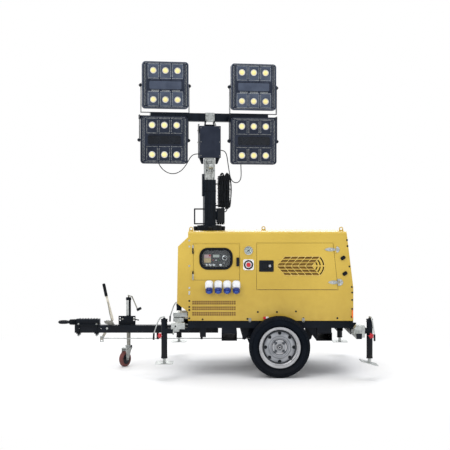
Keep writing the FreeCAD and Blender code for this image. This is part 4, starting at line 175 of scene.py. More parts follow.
# lighter copy of the lamp casting: painted light on the faces of the upper lamps
casting_lit = material("lamp_casting_lit", (58, 66, 82), (78, 87, 104), (0.34, 0.5), patch=8.0, grain=520.0,
                        bump=0.10, metallic=0.2, shine=0.3)
casting_dark = material("lamp_band", (10, 14, 20), (20, 25, 33), (0.22, 0.36), patch=11.0, bump=0.03,
                        shine=0.3)
zinc = material("galvanised", (168, 172, 170), (205, 208, 204), (0.32, 0.5), metallic=0.75, patch=12.0,
                grain=180.0, bump=0.08, spangle=70.0)
zinc_dull = material("galvanised_dull", (138, 139, 133), (178, 178, 170), (0.42, 0.62), metallic=0.6,
                     patch=16.0, grain=150.0, bump=0.10, spangle=45.0, dust_and_shade=DUST, dust_and_shade_top=0.7)
chrome = material("plated", (200, 202, 204), (224, 226, 228), (0.10, 0.22), metallic=1.0, patch=20.0,
                  bump=0.02)
rubber = material("tyre_rubber", (3, 9, 18), (8, 15, 25), (0.62, 0.82), patch=7.0, grain=240.0,
                  bump=0.15, dust_and_shade=(74, 68, 62), dust_and_shade_top=0.35, dust_and_shade_amount=0.14, shine=0.1)
tread_rubber = material("tread_rubber", (6, 11, 19), (20, 24, 31), (0.7, 0.9), patch=22.0, grain=200.0,
                        bump=0.2, shine=0.1)
soft_rubber = material("seal_rubber", (8, 11, 16), (16, 20, 26), (0.45, 0.65), patch=15.0, bump=0.08,
                       shine=0.15)
silver = material("wheel_paint", (176, 177, 180), (204, 205, 208), (0.26, 0.42), metallic=0.45,
                  patch=9.0, grain=300.0, bump=0.05, dust_and_shade=(110, 104, 98), dust_and_shade_top=0.62,
                  dust_and_shade_amount=0.6)
cream = material("lever_paint", (196, 190, 174), (220, 214, 198), (0.4, 0.6), patch=18.0, bump=0.08)
plastic = material("moulded_black", (10, 14, 20), (20, 25, 32), (0.38, 0.52), patch=14.0, grain=620.0,
                   bump=0.12, shine=0.2)
white = material("moulded_white", (226, 228, 230), (240, 241, 242), (0.28, 0.4), patch=10.0, bump=0.02)
navy = material("moulded_blue", (22, 38, 100), (32, 54, 132), (0.24, 0.36), patch=12.0, bump=0.03)
red = material("moulded_red", (176, 26, 40), (205, 40, 52), (0.22, 0.34), patch=12.0, bump=0.02)
maroon = material("castor_tyre", (84, 42, 40), (110, 58, 52), (0.5, 0.7), patch=20.0, bump=0.08)
orange = material("marker_orange", (232, 106, 36), (246, 128, 48), (0.15, 0.25), patch=30.0, bump=0.05)
steel = material("wheel_disc", (142, 145, 150), (170, 172, 176), (0.3, 0.45), metallic=0.4, patch=14.0,
                 bump=0.05)
lid_blue = material("moulded_lid", (30, 66, 146), (42, 84, 170), (0.24, 0.36), patch=12.0, bump=0.03)
# brown of the pressings: painted shade in the vent cells and beside the louvres
painted_press_shade = material("pressed_shade", (104, 74, 26), (124, 90, 34), (0.5, 0.7), patch=20.0, bump=0.05)
# dark brown for painted shadow in seams and openings
painted_seam_shadow = material("seam_shade", (52, 42, 26), (70, 56, 34), (0.6, 0.8), patch=20.0, bump=0.05)
# lighter copy of the canopy paint: painted highlight on the louvres' rim and ribs
yellow_lit = material("canopy_paint_lit", (214, 184, 92), (224, 196, 106), (0.35, 0.5), patch=9.0, bump=0.03)
green = material("indicator_green", (30, 150, 70), (44, 176, 86), (0.2, 0.3), patch=20.0, bump=0.01)
dark_panel = material("panel_dark", (52, 56, 61), (64, 68, 73), (0.35, 0.5), patch=8.0, bump=0.05)
screen = material("screen", (186, 196, 190), (206, 214, 206), (0.12, 0.2), patch=20.0, bump=0.01)
engine_paint = material("engine_paint", (52, 56, 62), (76, 80, 86), (0.45, 0.7), patch=12.0, grain=120.0,
                        bump=0.25)
# dark brown of the sheets behind the vents: painted shade inside the canopy
painted_shade_brown = material("painted_shade_lining", (74, 56, 30), (100, 76, 40), (0.8, 0.95), patch=30.0, bump=0.3)
phosphor = material("led_phosphor", (246, 224, 142), (252, 238, 176), (0.2, 0.35), patch=60.0,
                    grain=900.0, bump=0.15)
ceramic = material("led_ceramic", (188, 190, 196), (212, 214, 219), (0.2, 0.3), patch=30.0, bump=0.02)
clear = glass("clear_pane", (0.93, 0.96, 0.97, 1.0))


# ---- mesh helpers
class Shape:
    """Collects the faces of one piece, given in millimetres and laid down by place."""

    def __init__(self, place=at):
        self.bm = bmesh.new()
        self.place = place

    def ring(self, middle, u, v, radius, steps):
        """Vertices of a circle round middle, in the plane of u and v."""
        turns = (2 * pi * i / steps for i in range(steps))
        return [self.bm.verts.new(self.place(*(middle + (u * cos(a) + v * sin(a)) * radius)))
                for a in turns]

    def faces(self, points, faces):
        verts = [self.bm.verts.new(self.place(*p)) for p in points]
        for f in faces:
            self.bm.faces.new([verts[i] for i in f])

    def box(self, x0, x1, y0, y1, z0, z1):
        points = [(x, y, z) for z in (z0, z1) for y in (y0, y1) for x in (x0, x1)]
        self.faces(points, [(0, 2, 3, 1), (4, 5, 7, 6), (0, 1, 5, 4),
                            (2, 6, 7, 3), (0, 4, 6, 2), (1, 3, 7, 5)])

    def prism(self, outline, y0, y1):
        """An outline of (x, z) points, from y0 to y1."""
        n = len(outline)
        points = [(x, y0, z) for x, z in outline] + [(x, y1, z) for x, z in outline]
        sides = [(i, (i + 1) % n, n + (i + 1) % n, n + i) for i in range(n)]
        self.faces(points, [tuple(range(n))[::-1], tuple(range(n, 2 * n))] + sides)

    def ring_plate(self, outline, hole, y0, y1):
        """A plate between two closed outlines with the same number of (x, z) points."""
        n = len(outline)
        points = [(x, y, z) for y in (y0, y1) for ring in (outline, hole) for x, z in ring]
        faces = []
        for i in range(n):
            j = (i + 1) % n
            faces += [(i, j, n + j, n + i), (2 * n + j, 2 * n + i, 3 * n + i, 3 * n + j),
                      (j, i, 2 * n + i, 2 * n + j), (n + i, n + j, 3 * n + j, 3 * n + i)]
        self.faces(points, faces)

    def lathe(self, profile, centre, axis=NEAR, steps=28):
        """A turned piece: profile is (radius, height) along axis from centre."""
        axis = Vector(axis).normalized()
        side = axis.orthogonal().normalized()
        other = axis.cross(side)
        rings = []
        for r, h in profile:
            middle = Vector(centre) + axis * h
            if r:
                rings.append(self.ring(middle, side, other, r, steps))
            else:
                rings.append([self.bm.verts.new(self.place(*middle))])
        for low, high in zip(rings[:-1], rings[1:]):
            for i in range(steps):
                j = (i + 1) % steps
                loop = [low[i % len(low)], low[j % len(low)], high[j % len(high)], high[i % len(high)]]
                loop = list(dict.fromkeys(loop))
                if len(loop) > 2:
                    self.bm.faces.new(loop)

    def bolt(self, centre, axis=NEAR, across=13.0, height=6.0):
        """Hexagon head with a washer and a chamfered top."""
        r = across / 2 / cos(pi / 6)
        self.lathe([(0, -0.6), (r * 1.35, -0.6), (r * 1.35, 1.2), (0, 1.2)], centre, axis, 18)
        self.lathe([(0, 0), (r, 0), (r, height * 0.82), (r * 0.84, height), (0, height)], centre, axis, 6)

    def dome(self, centre, axis=NEAR, radius=6.0, height=3.0):
        """Round head of a rivet or button screw."""
        profile = [(0, -0.5), (radius, -0.5), (radius, 0.2), (radius * 0.86, height * 0.55),
                   (radius * 0.5, height * 0.92), (0, height)]
        self.lathe(profile, centre, axis, 14)

    def tube(self, points, radius, steps):
        """A round bar along points, its section carried along without twist."""
        path = [Vector(p) for p in points]
        rings = []
        normal = None
        for i, p in enumerate(path):
            before = path[max(i - 1, 0)]
            after = path[min(i + 1, len(path) - 1)]
            tangent = (after - before).normalized()
            if normal is None:
                normal = tangent.orthogonal().normalized()
            normal = (normal - tangent * normal.dot(tangent)).normalized()
            rings.append(self.ring(p, normal, tangent.cross(normal), radius, steps))
        for low, high in zip(rings[:-1], rings[1:]):
            for k in range(steps):
                j = (k + 1) % steps
                self.bm.faces.new([low[k], low[j], high[j], high[k]])
        self.bm.faces.new(rings[0][::-1])
        self.bm.faces.new(rings[-1])

    def done(self, name, body, look, bevel=0.0, slot=None):
        bmesh.ops.recalc_face_normals(self.bm, faces=self.bm.faces)
        mesh = bpy.data.meshes.new(name)
        self.bm.to_mesh(mesh)
        self.bm.free()
        mesh.polygons.foreach_set("use_smooth", [True] * len(mesh.polygons))
        mesh.set_sharp_from_angle(angle=radians(35))
        mesh.materials.append(look)
        piece = in_scene(name, mesh)
        if bevel:
            edge = piece.modifiers.new("edges", "BEVEL")
            edge.width = bevel / 1000
            edge.segments = 2
            edge.limit_method = "ANGLE"
            edge.angle_limit = radians(38)
            edge.harden_normals = True
        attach(piece, body)
        return piece


def around(cx, cz, radius, angles):
    """Points of a circle in a plane, one at each angle."""
    return [(cx + radius * cos(a), cz + radius * sin(a)) for a in angles]


def rounded(cx, cz, half_x, half_z, radius, steps=6):
    """Points of a rounded rectangle in the XZ plane."""
    points = []
    for k, (sx, sz) in enumerate(((1, 1), (-1, 1), (-1, -1), (1, -1))):
        points += around(cx + sx * (half_x - radius), cz + sz * (half_z - radius), radius,
                         [pi / 2 * (k + i / steps) for i in range(steps + 1)])
    return points


def turned(name, body, look, profile, centre, steps, axis=NEAR):
    """A piece that is one turned shape."""
    shape = Shape()
    shape.lathe(profile, centre, axis, steps)
    shape.done(name, body, look)


def plate(name, body, look, outline, y0, y1, bevel=0):
    """A piece that is one prism."""
    shape = Shape()
    shape.prism(outline, y0, y1)
    shape.done(name, body, look, bevel=bevel)


def block(name, body, look, *sides, bevel=0):
    """A piece that is one box."""
    shape = Shape()
    shape.box(*sides)
    shape.done(name, body, look, bevel=bevel)


def bolted(name, body, look, centres, axis, across, height, bevel):
    """A piece that is one or more bolts of one size."""
    shape = Shape()
    for centre in centres:
        shape.bolt(centre, axis, across, height)
    shape.done(name, body, look, bevel=bevel)


# ---- camera
camera = in_scene("camera", bpy.data.cameras.new("camera"))
camera.data.lens = 80.0
camera.data.sensor_width = 36.0
camera.data.clip_end = 200.0
camera.location = (0.134, -10.2, 1.56)
camera.rotation_euler = (radians(90.0 - 0.63), 0.0, 0.0)
bpy.context.scene.camera = camera


# ---- lamp leads
def lead(name, node, route, look):
    curve = bpy.data.curves.new(name, "CURVE")
    curve.dimensions = "3D"
    curve.bevel_depth = 0.0045
    curve.bevel_resolution = 3
    curve.resolution_u = 8
    curve.use_fill_caps = True
    spline = curve.splines.new("NURBS")
    spline.points.add(len(route) - 1)
    for point, place in zip(spline.points, route):
        point.co = (*on_mast(*place), 1.0)
    spline.order_u = 3
    spline.use_endpoint_u = True
    curve.materials.append(look)
    piece = in_scene(name, curve)
    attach(piece, "mast_head")
    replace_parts(piece, node)


LEFT_ROUTE = [
    (-113, 20, 2172), (-152, 20, 2172), (-190, 26, 2142), (-216, 32, 2092), (-246, 39, 2042),
    (-286, 46, 1998), (-336, 54, 1972), (-390, 62, 1970), (-440, 68, 1990), (-484, 72, 2028),
    (-514, 74, 2080), (-526, 74, 2140), (-527, 72, 2202), (-522, 66, 2262), (-515, 54, 2320),
    (-510, 38, 2374), (-507, 20, 2424), (-506, 12, 2462), (-506, 12, 2500)]
RIGHT_ROUTE = [
    (113, 20, 2212), (146, 20, 2212), (176, 26, 2188), (190, 34, 2144), (199, 43, 2088),
    (209, 49, 2032), (219, 54, 1974), (232, 57, 1920), (262, 60, 1884), (309, 64, 1882),
    (338, 67, 1916), (344, 70, 1964), (343, 72, 2012), (341, 73, 2072), (340, 73, 2132),
    (341, 71, 2192), (345, 66, 2252), (350, 56, 2310), (355, 40, 2366), (358, 22, 2418),
    (358, 14, 2458), (358, 14, 2500)]
lead("lead_left_visual", "lead_left", LEFT_ROUTE, soft_rubber)
lead("lead_right_visual", "lead_right", RIGHT_ROUTE, soft_rubber)


# ---- looks of the CAD nodes
NODE_LOOKS = {
    yellow: ["canopy_shell", "nose_cover", "side_panel_near", "side_panel_far", "side_door_near",
             "side_door_far", "control_door"],
    black: ["chassis_frame", "drawbar", "axle_and_springs", "tow_shaft", "jockey_tube"],
    mast_paint: ["mast_outer", "mast_head"],
    casting: ["lamp_upper_left", "lamp_upper_right", "lamp_lower_left", "lamp_lower_right"],
    zinc: ["mast_middle", "jockey_fork", "brake_rod"],
    zinc_dull: ["jockey_stem", "jockey_crank"],
    silver: ["wheel_near", "wheel_far"],
    cream: ["handbrake_lever"],
    plastic: ["door_paddle"],
    white: ["sockets"],
    navy: ["socket_lid_1", "socket_lid_2", "socket_lid_3", "socket_lid_4"],
    red: ["stop_button"],
    dark_panel: ["control_panel"],
    engine_paint: ["engine_set"],
    maroon: ["jockey_wheel"],
    rubber: ["tyre_near", "tyre_far"],
    soft_rubber: ["lead_left", "lead_right"],
}
node_look = {node: look for look, names in NODE_LOOKS.items() for node in names}
for corner in CORNERS:
    node_look["jack_" + corner] = black
    for part in ("arm_", "leg_", "foot_", "crank_"):
        node_look[part + corner] = zinc
for node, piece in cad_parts.items():
    piece.data.materials.clear()
    piece.data.materials.append(node_look[node])


def repaint(node, look, chosen):
    """Gives look to the faces of a CAD node whose middle, in millimetres from the axle, is chosen."""
    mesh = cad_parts[node].data
    mesh.materials.append(look)
    index = len(mesh.materials) - 1
    for face in mesh.polygons:
        c = face.center
        if chosen(c.x * 1000 - AXLE_X, c.y * 1000, c.z * 1000):
            face.material_index = index


def off_mast(x, y):
    """Distance from the mast's axis along the mast's own two directions."""
    dx = x - MAST_X
    c, s = cos(MAST_TURN), sin(MAST_TURN)
    return dx * c + y * s, -dx * s + y * c


def near_mast(x, y, half):
    u, v = off_mast(x, y)
    return abs(u) < half and abs(v) < half


# beyond these lie the faces that are flush with the skin, and those of what stands on it
FLUSH = SKIN + 0.1
PROUD = SKIN + 0.6
LATCH = (-121, 1058)           # middle of the side doors' paddle latch
repaint("mast_head", zinc, lambda x, y, z: z < 2131.5 and near_mast(x, y, 45))
repaint("mast_head", zinc, lambda x, y, z: 2499 < z < 2600 and near_mast(x, y, 48))
repaint("mast_head", casting, lambda x, y, z: 2130 < z < 2453 and near_mast(x, y, 108))
repaint("mast_outer", plastic, lambda x, y, z: 1627 < z < 1950 and off_mast(x, y)[0] > 93.5)
repaint("mast_outer", zinc,
        lambda x, y, z: 1460 < z < 1630 and off_mast(x, y)[0] > 59 and abs(off_mast(x, y)[1]) < 7.8)
repaint("chassis_frame", zinc, lambda x, y, z: x < -877.5 and 457.5 < z < 606)
for corner in CORNERS:
    repaint("arm_" + corner, plastic, lambda x, y, z: abs(y) > 943)
repaint("jockey_crank", plastic, lambda x, y, z: x > -1428 and z < 610)
repaint("handbrake_lever", plastic, lambda x, y, z: z > 712)
for side, name in SIDES:
    repaint("side_panel_" + name, zinc, lambda x, y, z: side * y > PROUD and x > 560)
    repaint("side_door_" + name, zinc, lambda x, y, z: side * y > PROUD and x > 440)
repaint("side_door_near", plastic,
        lambda x, y, z: abs(x - LATCH[0]) < 72 and abs(z - LATCH[1]) < 57 and (y < -FLUSH or y > -556.5))
repaint("side_panel_near", chrome, lambda x, y, z: y < -FLUSH and abs(x + 296) < 42 and z > 1160)
repaint("side_panel_near", white, lambda x, y, z: y < -FLUSH and abs(x + 294) < 53 and z < 1130)
for node in ("side_panel_near", "control_door"):
    repaint(node, zinc, lambda x, y, z: y < -PROUD and -842 < x < -818 and (z > 1225 or 927 < z < 972))
    repaint(node, plastic,
            lambda x, y, z: y < -PROUD and -842 < x < -818 and (1100 < z < 1225 or 972 < z < 1020))
repaint("control_door", plastic, lambda x, y, z: y < -FLUSH and x > -420)
repaint("control_door", soft_rubber,
        lambda x, y, z: y < -FLUSH and abs(x + 607) < 161 and abs(z - 1128) < 106)
for side, name in SIDES:
    repaint("wheel_" + name, engine_paint, lambda x, y, z: side * y < 651 and hypot(x, z - AXLE_Z) < 113)
    repaint("wheel_" + name, steel, lambda x, y, z: side * y > 651 and hypot(x, z - AXLE_Z) < 149)
    # a dark ring at the disc's edge: painted shade
    repaint("wheel_" + name, engine_paint,
            lambda x, y, z: side * y > 651 and 149 < hypot(x, z - AXLE_Z) < 160)
for corner in CORNERS:
    repaint("crank_" + corner, plastic, lambda x, y, z: z < 439)
repaint("stop_button", plastic, lambda x, y, z: y > -575)

# ---- fasteners on the skin
def screws(name, places, look, side):
    """Round heads with washers on a side skin, at (x, z) places."""
    heads = Shape()
    for x, z in places:
        heads.dome((x, side * (SKIN + 0.2), z), (0, side, 0), 6.5, 3)
        heads.lathe([(0, -0.5), (9.5, -0.5), (9.5, 0.8), (0, 0.8)], (x, side * (SKIN + 0.1), z),
                    (0, side, 0), 16)
    heads.done(name, "root", look)


FRONT_SCREWS = [(-865, z) for z in (1304, 1247, LOUVRE_Z, 847, 808, 789, 721, 663, 634, 553)]
REAR_SCREWS = [(656, 1309), (661, 1251), (680, 1054), (703, 856), (707, 803), (707, 731), (707, 644),
               (702, 567)]
LOW_SCREWS = [(-737, 543), (-304, 548), (-204, 615), (-19, 615), (164, 620), (236, 553), (564, 555)]
for side, name in SIDES:
    screws("panel_screws_" + name, FRONT_SCREWS[6:] + REAR_SCREWS + LOW_SCREWS, plastic, side)
    screws("panel_screws_bright_" + name, FRONT_SCREWS[:6], zinc, side)

# hinge screws on the side doors and beside them
for side, name in SIDES:
    leaf_screws, lobe_screws = Shape(), Shape()
    for hinge_x, z in ((567, 901), (532, 1218)):
        y = side * (SKIN + 4)
        for screws_of, dx, dz in ((leaf_screws, -28, 0), (leaf_screws, -54, 0), (lobe_screws, 28, -18),
                                  (lobe_screws, 28, 18)):
            screws_of.dome((hinge_x + dx, y, z + dz), (0, side, 0), 5, 2.2)
    leaf_screws.done("side_door_hinge_screws_" + name, "side_door_" + name, chrome)
    lobe_screws.done("panel_hinge_screws_" + name, "root", chrome)

# oval bumpers behind the side door's hinges
for side, name in SIDES:
    stops = Shape()
    for cx, cz in ((617, 1136), (636, 986)):
        tilt = radians(35)
        outline = [(cx + (px * cos(tilt) - pz * sin(tilt)), cz + (px * sin(tilt) + pz * cos(tilt)))
                   for px, pz in rounded(0, 0, 24, 17, 12)]
        stops.prism(outline, *skin(side, 0, 13))
    stops.done("door_bumpers_" + name, "root", soft_rubber, bevel=4)

# The louvres' grid: five columns that lean with their distance from the middle line, and rows above
# and below it.
LOUVRE_TIP, LOUVRE_PITCH, LOUVRE_SLOPE = -21.5, 68, 0.86
LOUVRE_ROWS = [LOUVRE_Z + hand * row for row in (16, 47, 79) for hand in (-1, 1)]


def louvre_x(column, z):
    return LOUVRE_TIP + column * LOUVRE_PITCH + LOUVRE_SLOPE * abs(z - LOUVRE_Z)


# dark sheets behind the slots, seen between the louvre blades: painted shade inside the canopy
for side, name in SIDES:
    block("vent_shade_sheet_" + name, "root", painted_shade_brown, -842, -404, *skin(side, -9, -7), 570, 728)
    block("louvre_shade_sheet_" + name, "side_door_" + name, painted_shade_brown, -30, 438, *skin(side, -30, -28), 950, 1168)
    blades = Shape()
    outer, inner = side * (SKIN - 2.5), side * (SKIN - 22)
    for z, column in product(LOUVRE_ROWS, range(5)):
        x0 = louvre_x(column, z)
        blades.faces([(x0 + 3, outer, z - 8), (x0 + 66, outer, z - 8), (x0 + 72, inner, z + 9),
                      (x0 + 9, inner, z + 9)], [(0, 1, 2, 3)])
    blades.done("louvre_blades_" + name, "side_door_" + name, yellow_in_shade)

# painted shade in the pressed grid of the lower vent: three rows of twenty cells, each of two slits
for side, name in SIDES:
    cells = Shape()
    y0, y1 = skin(side, -0.5, 0.7)
    for low in (579, 633, 688):
        for column in range(20):
            x0 = -835 + column * 21.1
            for rise in (0, 19.5):
                cells.box(x0, x0 + 16, y0, y1, low + rise, low + rise + 15.5)
    cells.done("vent_cell_shades_" + name, "root", painted_press_shade)

# shaded presses above and below each louvre
for side, name in SIDES:
    shades = Shape()
    y0, y1 = skin(side, -0.5, 0.4)
    for z, press, column in product(LOUVRE_ROWS, ((7.2, 11.0), (-13.0, -7.2)), range(5)):
        low, high = z + press[0], z + press[1]
        a, b = louvre_x(column, low), louvre_x(column, high)
        shades.prism([(a + 4, low), (a + 64, low), (b + 64, high), (b + 4, high)], y0, y1)
    shades.done("louvre_shades_" + name, "side_door_" + name, painted_press_shade)

# painted shadow in the gaps along the lower edges of the doors
for node, x0, x1 in (("side_door_near", -198, 562), ("side_door_far", -198, 562),
                     ("control_door", -817, -382)):
    low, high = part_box(node)
    side = -1 if low[1] < 0 else 1
    y0, y1 = skin(side, -1.5, 0.6)
    bottom = low[2] * 1000
    top = bottom + (1.8 if node != "control_door" else 0.2)
    block("edge_shadow_" + node, node, painted_seam_shadow, x0, x1, *skin(side, -1.5, 0.6), bottom - 2.2, top)

# raised rim round the louvres, and ribs between their columns, their lighter paint a painted highlight
for side, name in SIDES:
    half = 92
    y = side * (SKIN + 0.6)
    edges = [louvre_x(column, LOUVRE_Z + half) for column in range(6)]
    tips = [louvre_x(column, LOUVRE_Z) for column in range(6)]
    path = [(edges[5], y, LOUVRE_Z + half), (edges[0], y, LOUVRE_Z + half), (tips[0] - 6, y, LOUVRE_Z),
            (edges[0], y, LOUVRE_Z - half), (edges[5], y, LOUVRE_Z - half)]
    arc = [(x, y, z) for x, z in around(tips[5], LOUVRE_Z, 121, [radians(-48 + 12 * i) for i in range(9)])]
    rim = Shape()
    rim.tube(path + arc + [path[0]], 2.6, 8)
    rim.done("louvre_rim_" + name, "side_door_" + name, yellow_lit)
    ribs = Shape()
    for edge, tip in zip(edges[1:], tips[1:]):
        ribs.tube([(edge, y, LOUVRE_Z + half), (tip, y, LOUVRE_Z), (edge, y, LOUVRE_Z - half)], 3.0, 8)
    ribs.tube([(tips[0], y, LOUVRE_Z), (tips[5] + 118, y, LOUVRE_Z)], 3.0, 8)
    ribs.done("louvre_ribs_" + name, "side_door_" + name, yellow_lit)

# marker strips at the rear edge, reflectors above the tyres
for side, name in SIDES:
    plate("side_marker_" + name, "root", orange, rounded(709, 597, 6.5, 38, 4), *skin(side, 0, 9), 2)
    for look, x, tag in ((red, -139, "red_"), (white, -113, "white_")):
        plate("reflector_" + tag + name, "root", look, rounded(x, 557, 13, 13, 5), *skin(side, 0, 6), 2)
    hooks = Shape()
    for x in (-280, 236):
        hooks.prism(rounded(x, 541, 13, 15, 3), *skin(side, 0, 5))
        near, far = side * (SKIN + 8), side * (SKIN + 12)
        hooks.tube([(x - 8, near, 532), (x - 8, far, 519), (x + 8, far, 519), (x + 8, near, 532)], 2.4, 8)
    hooks.done("toggle_hooks_" + name, "root", zinc_dull, bevel=1)

# ---- gauge and stop button
GAUGE = (-294, 1208)
STOP = (-294, 1071)


def out_of(place, depth):
    """A point in front of the near skin at an (x, z) place."""
    return place[0], -SKIN - depth, place[1]


turned("gauge_bezel", "root", chrome,
       [(33.5, -3), (34.5, 8), (37, 11), (41, 10.5), (43, 7), (43, 0), (40, -1)], out_of(GAUGE, 0), 40)
turned("gauge_dial", "root", screen, [(0, 0), (33.8, 0), (33.8, 2.2), (0, 2.4)], out_of(GAUGE, 1), 32)
ticks = Shape()
angles = [radians(-40 + 32.5 * i) for i in range(9)]
for ends in zip(around(*GAUGE, 24, angles), around(*GAUGE, 30, angles)):
    ticks.tube([out_of(end, 3.8) for end in ends], 1.1, 6)
ticks.tube([(GAUGE[0] + 12, -SKIN - 5, GAUGE[1] + 9), (GAUGE[0] - 14, -SKIN - 5, GAUGE[1] - 16)], 1.7, 6)
ticks.lathe([(0, 0), (6, 0), (5, 3), (0, 3.4)], out_of(GAUGE, 3.6), steps=16)
ticks.done("gauge_needle", "root", plastic)
turned("gauge_glass", "root", clear, [(0, 0), (33.6, 0), (33.6, 1.2), (0, 1.8)], out_of(GAUGE, 7.5), 32)
turned("stop_ring", "root", plastic, [(32, -1), (32, 4), (34, 6), (42, 6), (45, 4), (45, -1)],
       out_of(STOP, 7), 40)
turned("stop_collar", "root", white, [(15.8, -1), (15.8, 1.4), (20, 2.4), (24, 2), (26, -1)],
       out_of(STOP, 7), 32)
turned("stop_cap", "stop_button", red,
       [(0, 28), (16, 27.6), (20.5, 25.5), (21.8, 21), (21.8, 15), (20.6, 13.3), (12, 13.3), (0, 13.3)],
       out_of(STOP, 3), 36)
corners = Shape()
for sx, sz in product((-1, 1), (-1, 1)):
    corners.dome((STOP[0] + sx * 42, -SKIN - 7, STOP[1] + sz * 42), radius=3.6, height=2)
corners.done("stop_plate_screws", "root", zinc_dull)

# ---- window and control panel
WINDOW = (-607, 1128.5)
plate("window_pane", "control_door", clear, rounded(*WINDOW, 139, 84, 58), -SKIN - 2, -SKIN + 2)
lip = Shape()
lip.ring_plate(rounded(*WINDOW, 161, 106, 79), rounded(*WINDOW, 149, 94, 67), -SKIN - 9.5, -SKIN - 0.2)
lip.done("window_gasket_lip", "control_door", soft_rubber, bevel=3.5)
PANEL_Y = -500
card_rose = material("card_rose", (206, 168, 172), (222, 186, 188), patch=60, bump=0.02)
card_sand = material("card_sand", (206, 180, 128), (222, 198, 150), patch=60, bump=0.02)
block("panel_card_top", "root", card_rose, -724, -657, PANEL_Y - 17.2, PANEL_Y - 15.9, 1134, 1168)
block("panel_card_bottom", "root", card_sand, -724, -657, PANEL_Y - 17.2, PANEL_Y - 15.9, 1089, 1132)
block("panel_tile_red", "root", red, -678, -659, PANEL_Y - 18, PANEL_Y - 17, 1148, 1166)
plate("panel_display", "root", screen, rounded(-606, 1153, 30, 13, 3), PANEL_Y - 13.4, PANEL_Y - 11.8)
for tag, x, look in (("red", -635, red), ("white", -609, white), ("green", -583, green)):
    turned("indicator_" + tag, "root", look, [(6.5, 0), (6.5, 2), (4.6, 5), (0, 6)],
           (x, PANEL_Y - 8, 1112.5), 18)
knobs = Shape()
knobs.lathe([(26, -1), (26, 2), (23, 4), (19, 4), (18, 2)], (-521, PANEL_Y, 1134.5), steps=32)
for x in (-697, -663, -629, -563):
    knobs.lathe([(13, 0), (13, 2), (11, 3), (0, 3)], (x, PANEL_Y - 7, 1062.5), steps=22)
    knobs.lathe([(8, 0), (8, 9), (6.5, 10.5), (0, 11)], (x, PANEL_Y - 9, 1062.5), steps=22)
knobs.done("panel_bezels", "root", chrome)
selector = Shape()
selector.lathe([(17.5, 0), (17.5, 3), (15, 5), (0, 5)], (-521, PANEL_Y - 21, 1134.5), steps=28)
selector.box(-524.5, -517.5, PANEL_Y - 36, PANEL_Y - 21, 1119, 1150)
selector.done("panel_selector", "root", plastic, bevel=1)
mark = Shape()
mark.box(-523, -519, PANEL_Y - 37, PANEL_Y - 35.8, 1138, 1149)
mark.lathe([(7, 0), (7, 9), (5, 11), (0, 11)], (-531, PANEL_Y - 1, 1085), steps=20)
mark.done("panel_pointer", "root", ceramic)
plate("door_latch_key", "control_door", plastic, rounded(-397, 1098, 11, 38, 5), -SKIN - 20, -SKIN - 15, 2)

# ---- lock and paddle of the side door
key = Shape()
key.lathe([(0, -1), (12.5, -1), (12.5, 2), (10.5, 4), (0, 4)], (-88, -SKIN - 7, LATCH[1]), steps=26)
key.box(-89.2, -86.8, -SKIN - 12, -SKIN - 10, 1052, 1064)
key.done("side_door_lock", "side_door_near", chrome)
block("paddle_cover", "door_paddle", plastic, -158, -112, -SKIN - 5, -SKIN - 2, 1031, 1085, bevel=2.5)
# the far door's latch: tray in the door's hole, plate over it and closed paddle
latch = Shape()
latch.box(-166.5, -75.5, SKIN - 14, SKIN, 1020.5, 1095.5)
latch.prism(rounded(*LATCH, 66, 51, 8), SKIN + 0.3, SKIN + 4)
latch.box(-161, -107, SKIN + 4, SKIN + 7, 1029, 1087)
latch.done("far_door_latch", "side_door_far", plastic, bevel=1.5)

# ---- sockets
SOCKETS = [-673 + 87.2 * i for i in range(4)]
tilt = radians(32)
down = (0, -sin(tilt), -cos(tilt))
hoods, collars, seals = Shape(), Shape(), Shape()
for x in SOCKETS:
    arch = [(x - 31, 852), (x + 31, 852)] + around(x, 882, 31, [pi * i / 12 for i in range(13)])
    hoods.prism(arch, -SKIN - 50, -SKIN)
    collars.lathe([(0, -7), (30, -7), (34.5, -3), (35, 12), (33, 15.6), (27, 15.6), (27, 2), (0, 2)],
                  (x, -SKIN - 40, 832), down, 30)
    seals.prism(rounded(x, 874, 39, 45, 30), -SKIN - 3, -SKIN)
    for dx in (-22, 10):
        collars.box(x + dx, x + dx + 12, -SKIN - 80, -SKIN - 62, 836, 850)
for shape, tag, look, bevel in ((hoods, "hoods", white, 7), (collars, "collars", navy, 1),
                                (seals, "plates", white, 1.5)):
    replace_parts(shape.done("socket_" + tag, "root", look, bevel=bevel, slot="socket_white"), "sockets")
for i, x in enumerate(SOCKETS):
    turned("lid_cap_%d" % (i + 1), "socket_lid_%d" % (i + 1), lid_blue,
           [(24, 0), (24, 5), (22, 10), (16, 14), (8, 16), (0, 16.5)],
           Vector((x, -SKIN - 40, 832)) + Vector(down) * 24.0, 30, down)

# ---- wheels
DISC_Y = 657.5                 # inner face of the rims' discs

